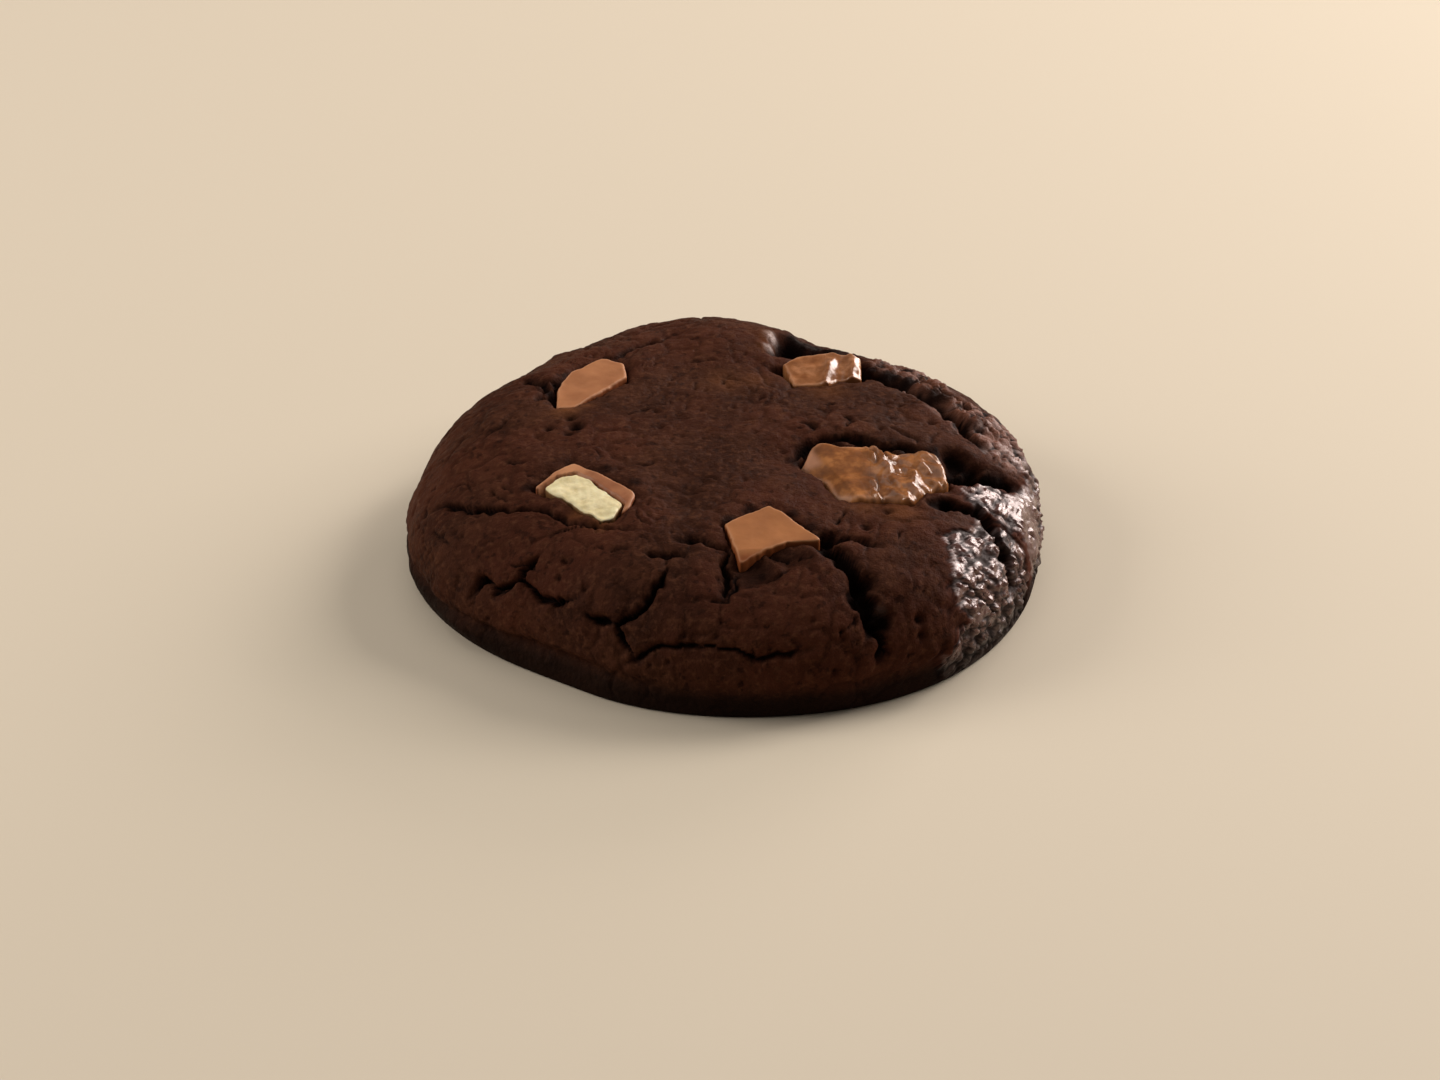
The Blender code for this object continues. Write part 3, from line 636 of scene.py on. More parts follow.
def cell_noise(x, y, grain, seed):
    """Return how far each point is from the nearest and the next of scattered centres."""
    size = NOISE_TABLE_SIZE
    scatter = np.random.default_rng(seed).uniform(0.0, 1.0, (2, size, size))
    u = x / grain
    v = y / grain
    column = np.floor(u).astype(int)
    row = np.floor(v).astype(int)
    nearest = np.full(x.shape, FAR)
    second = np.full(x.shape, FAR)
    for down in (-1, 0, 1):
        for across in (-1, 0, 1):
            centre_column = column + across
            centre_row = row + down
            at = (centre_row % size, centre_column % size)
            away = np.hypot(centre_column + scatter[0][at] - u, centre_row + scatter[1][at] - v)
            second = np.minimum(second, np.maximum(nearest, away))
            nearest = np.minimum(nearest, away)
    return nearest, second


def pebbles(x, y, grain, seed, shape):
    """Return the height of packed pebbles, given by their seam, roundness and share."""
    seam, roundness, share = shape
    nearest, second = cell_noise(x, y, grain, seed)
    return share * smooth_step((second - nearest) / seam) * (1.0 - roundness * nearest)


def distance_to_path(x, y, path, reach):
    """Return the distance to a path, and how far along it the nearest place is.

    Points further from the path than reach get a large distance.
    """
    points = np.array(path, dtype=float)
    nearest = np.full(x.shape, FAR)
    share = np.zeros(x.shape)
    low = points.min(axis=0) - reach
    high = points.max(axis=0) + reach
    close = np.nonzero((x > low[0]) & (x < high[0]) & (y > low[1]) & (y < high[1]))[0]
    near_x = x[close]
    near_y = y[close]
    best = np.full(near_x.shape, FAR)
    best_share = np.zeros(near_x.shape)
    lengths = np.hypot(*np.diff(points, axis=0).T)
    done = 0.0
    for start, end, length in zip(points[:-1], points[1:], lengths):
        ahead = (end - start) / length
        along = (near_x - start[0]) * ahead[0] + (near_y - start[1]) * ahead[1]
        along = np.clip(along, 0, length)
        away = np.hypot(near_x - start[0] - along * ahead[0], near_y - start[1] - along * ahead[1])
        closer = away < best
        best = np.where(closer, away, best)
        best_share = np.where(closer, (done + along) / lengths.sum(), best_share)
        done += length
    nearest[close] = best
    share[close] = best_share
    return nearest, share


def spots(x, y, places, power=2.0):
    """Return the heights of round bumps at the given places."""
    height = np.zeros(x.shape)
    for at_x, at_y, radius, high in places:
        reach = SPOT_REACH * radius
        close = np.nonzero((np.abs(x - at_x) < reach) & (np.abs(y - at_y) < reach))[0]
        away = np.hypot(x[close] - at_x, y[close] - at_y) / radius
        height[close] = np.maximum(height[close], high * np.exp(-away ** power))
    return height


def zone(x, y, places, softness=ZONE_SOFTNESS):
    """Return 1 inside the given circles and 0 outside, with an uneven soft edge."""
    inside = np.zeros(x.shape)
    edge = uneven(x, y, *ZONE_EDGE)
    for at_x, at_y, radius in places:
        away = np.hypot(x - at_x, y - at_y) + edge
        inside = np.maximum(inside, smooth_step((radius - away) / softness))
    return inside


def ridge(x, y, shape):
    """Return the height of a soft ridge, given by its place, lean, half width and height."""
    at_x, at_y, lean, half_width, height = shape
    return height * np.exp(-((x - at_x - lean * (y - at_y)) / half_width) ** 2)


def profile():
    """Return the dough's profile: length of the path over it, radius and height."""
    turn = np.linspace(0.0, math.pi / 2, TOP_STEPS)
    radius = DOUGH_RADIUS * np.sin(turn) ** (2 / SHOULDER_POWER)
    height = WIDEST_HEIGHT + (DOUGH_HEIGHT - WIDEST_HEIGHT) * np.cos(turn)
    tuck = np.linspace(0.0, math.pi / 2, FOOT_STEPS)[1:]
    radius = np.append(radius, DOUGH_RADIUS - FOOT_TUCK * (1 - np.cos(tuck)))
    height = np.append(height, WIDEST_HEIGHT * (1 - np.sin(tuck)))
    steps = np.hypot(np.diff(radius), np.diff(height))
    path = np.append(0.0, np.cumsum(steps))
    return path, radius, height


def outline(angle):
    """Return how much wider than the mean the dough is in each direction."""
    wave = sum(high * np.cos(count * (angle - crest)) for count, high, crest in OUTLINE_WAVES)
    for high, crest, width in OUTLINE_SWELLINGS:
        off = np.arctan2(np.sin(angle - crest), np.cos(angle - crest))
        wave = wave + high * np.exp(-(off / width) ** 2)
    return 1.0 + wave / DOUGH_RADIUS


def cracklets():
    """Return the small cracks that lie all over the dough, as width, depth and path."""
    choose = np.random.default_rng(CRACKLET_SEED)
    furthest = CRACKLET_FIELD[1]
    made = []
    for _ in range(CRACKLET_COUNT):
        place = choose.uniform(*CRACKLET_FIELD) ** CRACKLET_SPREAD
        place = place * furthest ** (1.0 - CRACKLET_SPREAD)
        angle = choose.uniform(0.0, 2 * math.pi)
        heading = angle + math.pi / 2 + choose.normal(0.0, CRACKLET_TURN)
        spot = np.array((place * math.cos(angle), place * math.sin(angle)))
        path = [spot]
        for _ in range(choose.integers(*CRACKLET_STEPS)):
            heading += choose.normal(0.0, CRACKLET_TURN)
            spot = spot + CRACKLET_STEP * np.array((math.cos(heading), math.sin(heading)))
            path.append(spot)
        made.append((choose.uniform(*CRACKLET_WIDTH), choose.uniform(*CRACKLET_DEPTH), path))
    return made


def crack_relief(x, y):
    """Return how far cracks sink the dough, how the plates round off, and their painted shade."""
    for reach, grain, seed in WANDER:
        x = x + reach * soft_noise(x, y, grain, seed)
        y = y + reach * soft_noise(x, y, grain, seed + 1)
    thick = CRACK_WIDTH + uneven(x, y, CRACK_WIDTH_CHANGE)
    groove = np.zeros(x.shape)
    roll = np.zeros(x.shape)
    mark = np.zeros(x.shape)
    rounded = list(CRACKS.values())
    for number, (half_width, depth, path) in enumerate(rounded + list(FINE_CRACKS) + cracklets()):
        main_crack = number < len(rounded)
        reach = MAIN_CRACK_REACH if main_crack else FINE_CRACK_REACH
        away, share = distance_to_path(x, y, path, reach)
        strength = smooth_step(np.minimum(share, 1 - share) / CRACK_TAPER)
        strength = CRACK_END_STRENGTH + (1.0 - CRACK_END_STRENGTH) * strength
        core = strength * np.exp(-(away / (half_width * thick)) ** CRACK_EDGE_POWER)
        groove = np.maximum(groove, depth * core)
        darkness = max(SHALLOW_DARKNESS * min(1.0, depth), DEEP_DARKNESS * depth)
        mark = np.maximum(mark, np.minimum(1.0, darkness * core))
        if main_crack:
            roll = np.maximum(roll, strength * np.exp(-away / EDGE_ROLL_LENGTH))
    return groove, EDGE_ROLL * roll, mark


def crackle(x, y):
    """Return the depth of the fine net of cracks, which fades in and out over the dough."""
    net = np.zeros(x.shape)
    bent_x, bent_y = bend(x, y, NET_BEND)
    for cell, width, depth, seed in CRACKLE:
        nearest, second = cell_noise(bent_x, bent_y, cell, seed)
        line = np.exp(-((second - nearest) * cell / (NET_LINE_SPREAD * width)) ** 2)
        patches = soft_noise(x, y, NET_PATCH_CELLS * cell, seed + NET_PATCH_SEED_STEP)
        patch = smooth_step(NET_PATCH_LEVEL + NET_PATCH_CONTRAST * patches)
        net = np.maximum(net, depth * line * patch)
    return net


def scattered_pits():
    """Return the many small pits of the dough, as places, radii and depths."""
    choose = np.random.default_rng(PIT_SEED)
    made = []
    for _ in range(PIT_COUNT):
        place = PIT_FIELD * math.sqrt(choose.uniform(0.0, 1.0))
        angle = choose.uniform(0.0, 2 * math.pi)
        radius = choose.uniform(*PIT_RADIUS)
        depth = PIT_DEPTH_TO_RADIUS * radius
        made.append((place * math.cos(angle), place * math.sin(angle), radius, depth))
    return made


def crust_relief(x, y, mask, sheen):
    """Return the height of the shiny, pebbly crust, and where its gaps get painted shade."""
    turned_x = x * math.cos(CRUST_SLANT) + y * math.sin(CRUST_SLANT)
    turned_y = y * math.cos(CRUST_SLANT) - x * math.sin(CRUST_SLANT)
    sway = uneven(x, y, CRUST_SWAY)
    grains = pebbles(turned_x / CRUST_STRETCH + sway, turned_y + sway, CRUST_GRAIN, CRUST_SEED,
                     CRUST_PEBBLES)
    grains = grains + pebbles(turned_x / CLOT_STRETCH + 2 * sway, turned_y, CLOT_GRAIN,
                              CLOT_SEED, CRUST_CLOTS)
    size = PEBBLE_SIZE + uneven(x, y, PEBBLE_SIZE_CHANGE)
    size = size * (1.0 + LOW_PEBBLE_GAIN * smooth_step((np.hypot(x, y) - LOW_PEBBLES_FROM)
                                                       / LOW_PEBBLE_FADE))
    height = CRUST_HEIGHT * size * (1.0 - SHEEN_FLATNESS * sheen) * (grains - HALFWAY)
    gaps = smooth_step((PEBBLE_GAP_LEVEL - grains) / PEBBLE_GAP_SOFTNESS)
    return mask * (height + uneven(x, y, CRUST_LUMPS)), mask * (1.0 - SHEEN_CLOSES * sheen) * gaps


def lobe_relief(x, y, mask):
    """Return the height of the crumbly lobe, and where its gaps get painted shade."""
    bent_x, bent_y = bend(x, y, LOBE_BEND)
    crumbs = pebbles(bent_x, bent_y, LOBE_GRAIN, LOBE_SEED, LOBE_CRUMBS)
    crumbs = crumbs + pebbles(x + bent_y - y, y + bent_x - x, FINE_LOBE_GRAIN, FINE_LOBE_SEED,
                              FINE_LOBE_CRUMBS)
    some = smooth_step(LOBE_GAP_SHARE + uneven(x, y, LOBE_GAP_PATCHES))
    gaps = smooth_step((LOBE_GAP_LEVEL - crumbs) / LOBE_GAP_SOFTNESS)
    height = LOBE_HEIGHT * (crumbs - HALFWAY + uneven(x, y, *LOBE_ROUGHNESS))
    return mask * height, mask * some * gaps


def foot_crease(path, angle):
    """Return the depth of the crease that sets off the foot at the front left."""
    turned = np.where(angle > FOOT_CREASE_TO + math.pi / 2, angle - 2 * math.pi, angle)
    share = (turned - FOOT_CREASE_FROM) / (FOOT_CREASE_TO - FOOT_CREASE_FROM)
    reach = smooth_step(np.minimum(share, 1 - share) / FOOT_CREASE_TAPER)
    wavy = path - FOOT_CREASE_PATH + uneven(FOOT_CREASE_TURN * angle, path, FOOT_CREASE_SWAY)
    return FOOT_CREASE_DEPTH * reach * np.exp(-(wavy / FOOT_CREASE_WIDTH) ** 2)


def polygon_radius(corners, middle, angle):
    """Return the distance from the middle of a flat shape to its edge in each direction."""
    radius = np.full(angle.shape, FAR)
    ray_x, ray_y = toward(1.0, angle)
    ends = np.array(corners[1:] + corners[:1]) - middle
    starts = np.array(corners) - middle
    for start, end in zip(starts, ends):
        side = end - start
        turn = ray_x * side[1] - ray_y * side[0]
        turn = np.where(np.abs(turn) < TINY, TINY, turn)
        reach = (start[0] * side[1] - start[1] * side[0]) / turn
        share = (start[0] * ray_y - start[1] * ray_x) / turn
        hit = (reach > 0) & (share >= -CORNER_SLACK) & (share <= 1 + CORNER_SLACK)
        radius = np.where(hit & (reach < radius), reach, radius)
    return radius


def room_to_edge(x, y, corners):
    """Return the room between points and a flat shape's edge, seen from its middle."""
    middle = np.mean(corners, axis=0)
    off_x = x - middle[0]
    off_y = y - middle[1]
    rim = polygon_radius(corners, middle, np.arctan2(off_y, off_x))
    return rim - np.hypot(off_x, off_y)


def chunk_distance(x, y, corners):
    """Return the distance outside a chunk's outline seen from above, negative inside."""
    away, _ = distance_to_path(x, y, corners + corners[:1], CHUNK_REACH)
    close = away < FAR
    inside = np.zeros(x.shape, dtype=bool)
    inside[close] = room_to_edge(x[close], y[close], corners) > 0
    return np.where(inside, -away, away)


def chunk_relief(x, y):
    """Return how far the dough dips beside the chunks, and the pockets they stand in."""
    dip = np.zeros(x.shape)
    pocket = np.zeros(x.shape)
    gap = POCKET_GAP + uneven(x, y, GAP_UNEVENNESS) + spots(x, y, OPEN_GAPS)
    for name in POCKETS:
        away = chunk_distance(x, y, CHUNKS[name]["corners"])
        dip = np.maximum(dip, np.exp(-(np.maximum(away, 0.0) / CHUNK_MOAT_WIDTH) ** 2))
        pocket = np.maximum(pocket, smooth_step((gap - away) / POCKET_SLOPE + HALFWAY))
    return CHUNK_MOAT_DEPTH * dip, POCKET_DEPTH * pocket


def dough_relief(x, y, place):
    """Return the height of the dough's relief, and the marks that its material reads."""
    crust = zone(x, y, CRUST_PLACES, CRUST_SOFTNESS)
    lobe = zone(x, y, LOBE_PLACES)
    sheen = zone(x, y, SHEEN_PLACES)
    bent_x, bent_y = bend(x, y, DOUGH_BEND)
    groove, roll, painted_shade = crack_relief(x, y)
    net = crackle(x, y) * (1.0 - CRUST_HIDES_NET * crust)
    pits = spots(x, y, list(PITS) + scattered_pits())
    hollows = spots(bent_x, bent_y, HOLLOWS, HOLLOW_EDGE_POWER)
    stones, stone_gaps = crust_relief(x, y, smooth_step(crust / CRUST_CORE), sheen)
    crumbs, crumb_gaps = lobe_relief(x, y, lobe * (1.0 - smooth_step(groove + hollows)))
    raised = uneven(x, y, *DOUGH_LUMPS, *DOUGH_GRAIN) + spots(x, y, SWELLINGS) + stones + crumbs
    sunk = pits + hollows + np.maximum(groove, net) + roll
    shade = spots(bent_x, bent_y, DEEP_SHADE, HOLLOW_EDGE_POWER)
    # Cracks, the net, pits, hollows, gaps and deep places are painted dark: painted shade.
    dark = np.maximum.reduce([painted_shade, NET_DARKNESS * net, PIT_DARKNESS * pits,
                              HOLLOW_DARKNESS * hollows, PEBBLE_GAP_DARKNESS * stone_gaps,
                              crumb_gaps, shade])
    dark = np.clip(dark, 0.0, 1.0)
    gloss = np.maximum(smooth_step((crust - CRUST_CORE) / (1.0 - CRUST_CORE)), LOBE_GLOSS * lobe)
    gloss = np.maximum(gloss, spots(x, y, GLOSSY_SPOTS, GLOSS_EDGE_POWER))
    low = smooth_step((place - LOW_SIDE) / LOW_SIDE_FADE)
    marks = {
        "painted_shade": dark,
        "crust": crust,
        "grain": np.maximum(crust * (1.0 - SHEEN_SMOOTHNESS * sheen), LOBE_GRAININESS * lobe),
        "gloss": gloss * (1.0 - LOW_SIDE_DRYNESS * low) * (1.0 - CRACK_DRYNESS * dark),
        "smear": spots(bent_x, bent_y, SMEARS),
        "lobe": lobe,
        # The lower side below the crease is painted darker: painted shade.
        "foot": smooth_step((place - FOOT_CREASE_PATH) / FOOT_SHADE_LENGTH + HALFWAY),
    }
    return raised - sunk, marks


def dough_surface(share, angle):
    """Return points on the dough and the marks that its material reads."""
    path, radius, height = profile()
    place = share * path[-1]
    relief, marks = dough_relief(*toward(place, angle), place)
    wide = np.interp(place, path, radius) * outline(angle)
    dip, pocket = chunk_relief(*toward(wide, angle))
    relief = relief - foot_crease(place, angle) - dip
    relief = relief * smooth_step((path[-1] - place) / FOOT_FADE)
    ahead = place + SLOPE_STEP
    behind = place - SLOPE_STEP
    run = np.interp(ahead, path, radius) - np.interp(behind, path, radius)
    rise = np.interp(ahead, path, height) - np.interp(behind, path, height)
    length = np.hypot(run, rise)
    outward = wide - relief * rise / length
    up = np.interp(place, path, height) + relief * run / length - pocket
    up = np.where(share > AT_THE_FOOT, 0.0, up)
    return np.stack([*toward(outward, angle), up], axis=-1), marks


def square_grid(rings):
    """Return a square grid: each point's ring and direction, as share and angle, faces and rim."""
    side = 2 * rings + 1
    line = np.arange(-rings, rings + 1) / rings
    across, along = np.meshgrid(line, line)
    across = across.ravel()
    along = along.ravel()
    share = np.maximum(np.abs(across), np.abs(along))
    safe = np.where(share == 0, 1.0, share)
    quarter = math.pi / 4
    sideways = np.where(across > 0, quarter * along / safe, math.pi - quarter * along / safe)
    lengthways = np.where(along > 0, math.pi / 2 - quarter * across / safe,
                          -math.pi / 2 + quarter * across / safe)
    angle = np.where(np.abs(across) >= np.abs(along), sideways, lengthways)
    angle = np.arctan2(np.sin(angle), np.cos(angle))
    steps = np.arange(side - 1)
    first = (steps[:, None] * side + steps[None, :]).ravel()
    faces = np.stack([first, first + 1, first + side + 1, first + side], axis=-1)
    rim = np.concatenate([steps, steps * side + side - 1, side * side - 1 - steps,
                          (side - 1 - steps) * side])
    return share, angle, faces, rim


def close_below(points, faces, rim, rings, surface_below):
    """Close a draped grid below with rings that run in from its rim to the middle."""
    loop = points[rim]
    middle = loop.mean(axis=0)
    all_points = [points]
    all_faces = [tuple(face) for face in faces]
    outer = rim
    start = len(points)
    count = len(rim)
    for ring in range(1, rings + 1):
        inward = 1.0 - ring / (rings + 1)
        made = middle + (loop - middle) * inward
        made[:, 2] = surface_below(made[:, 0], made[:, 1])
        all_points.append(made)
        inner = np.arange(start, start + count)
        following = np.roll(np.arange(count), -1)
        quads = np.stack([outer[following], outer, inner, inner[following]], axis=-1)
        all_faces.extend(tuple(face) for face in quads)
        outer = inner
        start += count
    middle[2] = surface_below(middle[:1], middle[1:2])[0]
    all_points.append(middle[None, :])
    following = np.roll(outer, -1)
    all_faces.extend((following[i], outer[i], start) for i in range(count))
    return np.concatenate(all_points), all_faces


def add_object(name, data):
    """Add an object to the scene."""
    made = bpy.data.objects.new(name, data)
    bpy.context.scene.collection.objects.link(made)
    return made


def make_piece(name, points, faces, marks):
    """Make a smooth mesh object from points in millimetres, with marks for its material."""
    data = bpy.data.meshes.new(name)
    placed = (points + MIDDLE_TO_ORIGIN) * METRES_PER_MM
    data.from_pydata(placed.tolist(), [], [tuple(int(i) for i in face) for face in faces])
    data.validate()
    for mark, values in marks.items():
        layer = data.attributes.new(mark, "FLOAT", "POINT")
        full = np.zeros(len(data.vertices), dtype=np.float32)
        full[:len(values)] = values
        layer.data.foreach_set("value", full)
    data.shade_smooth()
    return add_object(name, data)


def make_dough():
    """Make the dough's fine surface."""
    share, angle, faces, rim = square_grid(DOUGH_RINGS)
    points, marks = dough_surface(share, angle)

    def underside(x, y):
        edge = smooth_step((DOUGH_RADIUS - np.hypot(x, y)) / UNDERSIDE_EDGE)
        return edge * (UNDERSIDE_LIFT + uneven(x, y, UNDERSIDE_LUMPS))

    points, faces = close_below(points, faces, rim, UNDERSIDE_RINGS, underside)
    return make_piece("dough_baked", points, faces, marks)


def chunk_rim(corners, middle, angle):
    """Return a chunk's outline with rounded, slightly uneven corners."""
    turns = np.linspace(-CORNER_ROUNDING, CORNER_ROUNDING, CORNER_STEPS)
    rim = sum(polygon_radius(corners, middle, angle + turn) for turn in turns) / len(turns)
    off_x, off_y = toward(rim, angle)
    return rim + uneven(middle[0] + off_x, middle[1] + off_y, *RIM_UNEVENNESS)


def flat_detail(x, y, share):
    """Return the low relief of a plain broken piece of chocolate."""
    return uneven(x, y, *FLAT_RELIEF)


def front_facet(x, y):
    """Return how far a point lies in front of the line where the front piece's face bends."""
    start = np.array(FACET_LINE[0])
    ahead = np.array(FACET_LINE[1]) - start
    ahead = ahead / math.hypot(*ahead)
    past = (x - start[0]) * ahead[1] - (y - start[1]) * ahead[0]
    return np.maximum(past + uneven(x, y, FACET_BOW), 0.0)


def front_detail(x, y, share):
    """Return the relief of the front piece, whose face bends down to its front corner."""
    return flat_detail(x, y, share) - FACET_SLOPE * front_facet(x, y)


def cream_detail(x, y, share):
    """Return the low relief of the cream's broken face."""
    return uneven(x, y, *CREAM_RELIEF) - CREAM_DROP


def left_tip(x, y):
    """Return how far a point lies to the left of the line where the melted piece's tip bends."""
    return TIP_LINE[0] - x - TIP_LEAN * (y - TIP_LINE[1])


def tip_mark(x, y):
    """Return 1 on the left tip of the melted piece, which is painted paler: a painted highlight.
    """
    return smooth_step(left_tip(x, y)) * smooth_step((y - TIP_FRONT) / TIP_FADE)


def melted_detail(x, y, share):
    """Return the relief of the large melted piece: a smooth left, a wrinkled right."""
    wet = smooth_step((x - WET_FROM_ON_RIGHT) / WET_FADE)
    slanted = x + WRINKLE_LEAN * y + uneven(x, y, WRINKLE_SWAY)
    wrinkles = np.abs(uneven(slanted, WRINKLE_STRETCH * y, WRINKLES))
    raised = wrinkles + sum(ridge(x, y, shape) for shape in MELTED_RIDGES) - MELTED_DROP
    tip = TIP_SLOPE * np.maximum(left_tip(x, y), 0.0)
    dip = ridge(y, x, MELTED_DIP) * (1.0 - wet)
    fine = (DRY_GRAIN_SHARE + (1.0 - DRY_GRAIN_SHARE) * wet) * uneven(x, y, MELTED_GRAIN)
    return uneven(x, y, MELTED_LUMPS) + wet * raised - tip - dip + fine


def ridged_detail(x, y, share):
    """Return the relief of the glossy back piece: a flat face and raised edges at its right."""
    swayed = x + uneven(x, y, BACK_SWAY)
    first = ridge(swayed, y, BACK_RIDGES[0]) * smooth_step((BACK_RIDGE_END - y) / BACK_RIDGE_FADE)
    second = ridge(swayed, y, BACK_RIDGES[1])
    step = BACK_STEP * smooth_step((x - BACK_STEP_FROM) / BACK_STEP_FADE)
    return first + second - step + uneven(x, y, BACK_LUMPS)


def shell_detail(x, y, share):
    """Return the relief of the filled piece's shell: its top, hollowed out for the cream."""
    pocket_floor = CHUNKS["filled_chunk_cream"]["depth"] + SHELL_FLOOR_GAP
    inside = smooth_step(room_to_edge(x, y, SHELL_POCKET) / SHELL_WALL_SLOPE)
    standing = smooth_step((SHELL_RIM - share) / SHELL_RIM_FADE)
    return flat_detail(x, y, share) - pocket_floor * inside * standing


def chunk_points(chunk, share, angle, detail):
    """Return points on a chunk, from the middle of its top to its lower edge."""
    corners = chunk["corners"]
    middle = np.mean(corners, axis=0)
    rim = chunk_rim(corners, middle, angle)
    inset = chunk["edge"] * np.array(EDGE_INSET)
    drop = chunk["edge"] * np.array(EDGE_DROP)
    drop[-2] = CHUNK_WAIST * chunk["depth"]
    drop[-1] = chunk["depth"]
    wide = np.interp(share, CHUNK_STOPS, CHUNK_SPREAD) * rim - np.interp(share, CHUNK_STOPS, inset)
    x, y = toward(np.maximum(wide, 0.0), angle)
    at_x = x + middle[0]
    at_y = y + middle[1]
    chips = uneven(at_x, at_y, CHIPS) * smooth_step((share - CHIPS_FROM) / CHIPS_FADE)
    face = chunk["top"] + chunk["rise_x"] * x + chunk["rise_y"] * y
    z = face + detail(at_x, at_y, share) - np.interp(share, CHUNK_STOPS, drop) + chips
    z = np.where(share > AT_THE_FOOT, chunk["top"] - chunk["depth"], z)
    return np.stack([at_x, at_y, z], axis=-1)


def make_chunk(name, piece_name, detail, wet_from=0.0):
    """Make one chunk's fine surface, wet to the right of the given place."""
    chunk = CHUNKS[name]
    share, angle, faces, rim = square_grid(CHUNK_RINGS)
    points = chunk_points(chunk, share, angle, detail)
    floor = chunk["top"] - chunk["depth"]

    def underside(x, y):
        return np.full(np.shape(x), floor)

    x = points[:, 0]
    y = points[:, 1]
    facet = front_facet(x, y) * (name == "chunk_front")
    marks = {
        # Painted highlight on the top edge; painted shade on the sides of the plain chocolate.
        "side": np.maximum(smooth_step((share - SIDE_FROM) / SIDE_FADE),
                           smooth_step(facet / FACET_FADE)),
        "edge": np.exp(-((share - EDGE_HIGHLIGHT_AT) / EDGE_HIGHLIGHT_WIDTH) ** 2),
        "wet": smooth_step((x - wet_from) / WET_FADE),
        "tip": tip_mark(x, y) * (name == "chunk_right"),
    }
    points, faces = close_below(points, faces, rim, 1, underside)
    return make_piece(piece_name, points, faces, marks)


def rgba(colour):
    """Return a colour, or a grey given as one number, with full opacity."""
    if isinstance(colour, tuple):
        return (*colour, 1.0)
    return (colour, colour, colour, 1.0)


def new_material(name):
    """Return a new material with its node tree and its shader."""
    material = bpy.data.materials.new(name)
    material.use_nodes = True
    tree = material.node_tree
    shader = tree.nodes["Principled BSDF"]
    return material, tree, shader


def object_noise(tree, scale, detail=3.0, rough=0.55):
    """Add a noise texture in object coordinates, with its scale in lumps per metre."""
    place = tree.nodes.new("ShaderNodeTexCoord")
    noise = tree.nodes.new("ShaderNodeTexNoise")
    noise.inputs["Scale"].default_value = scale
    noise.inputs["Detail"].default_value = detail
    noise.inputs["Roughness"].default_value = rough
    tree.links.new(place.outputs["Object"], noise.inputs["Vector"])
    return noise.outputs["Fac"]


def ramp(tree, value, stops):
    """Turn a value into a colour or a grey by a colour ramp."""
    node = tree.nodes.new("ShaderNodeValToRGB")
    elements = node.color_ramp.elements
    for element, (at, colour) in zip((elements[0], elements[1]), (stops[0], stops[-1])):
        element.position = at
        element.color = rgba(colour)
    for at, colour in stops[1:-1]:
        elements.new(at).color = rgba(colour)
    tree.links.new(value, node.inputs["Fac"])
    return node.outputs["Color"]


def mix(tree, share, first, second):
    """Mix two colours by a share."""
    node = tree.nodes.new("ShaderNodeMix")
    node.data_type = "RGBA"
    tree.links.new(share, node.inputs["Factor"])
    for socket, value in ((node.inputs[6], first), (node.inputs[7], second)):
        if isinstance(value, (float, tuple)):
            socket.default_value = rgba(value)
        else:
            tree.links.new(value, socket)
    return node.outputs[2]


def mark_value(tree, name):
    """Read a mark that the mesh holds."""
    node = tree.nodes.new("ShaderNodeAttribute")
    node.attribute_name = name
    return node.outputs["Fac"]


def maths(tree, operation, first, second):
    """Combine two values."""
    node = tree.nodes.new("ShaderNodeMath")
    node.operation = operation
    for socket, value in ((node.inputs[0], first), (node.inputs[1], second)):
        if isinstance(value, float):
            socket.default_value = value
        else:
            tree.links.new(value, socket)
    return node.outputs[0]


def tint(tree, base, value, share, colour):
    """Lay a colour over another, by a share of a value."""
    return mix(tree, maths(tree, "MULTIPLY", value, share), base, colour)


def tint_by_marks(tree, base, tints):
    """Lay colours over another where the marks say, each given as mark, share and colour."""
    for mark, share, colour in tints:
        base = tint(tree, base, mark_value(tree, mark), share, colour)
    return base


def bump(tree, shader, layers):
    """Add bumps to a shader, each given as its height, its reach in metres and its strength."""
    normal = None
    for height, distance, strength in layers:
        node = tree.nodes.new("ShaderNodeBump")
        node.inputs["Distance"].default_value = distance
        node.inputs["Strength"].default_value = strength
        tree.links.new(height, node.inputs["Height"])
        if normal is not None:
            tree.links.new(normal, node.inputs["Normal"])
        normal = node.outputs["Normal"]
    tree.links.new(normal, shader.inputs["Normal"])


def let_light_in(shader, weight, reach):
    """Let some light into a shader's material, as far as the given reach in metres."""
    shader.inputs["Subsurface Weight"].default_value = weight
    shader.inputs["Subsurface Radius"].default_value = reach


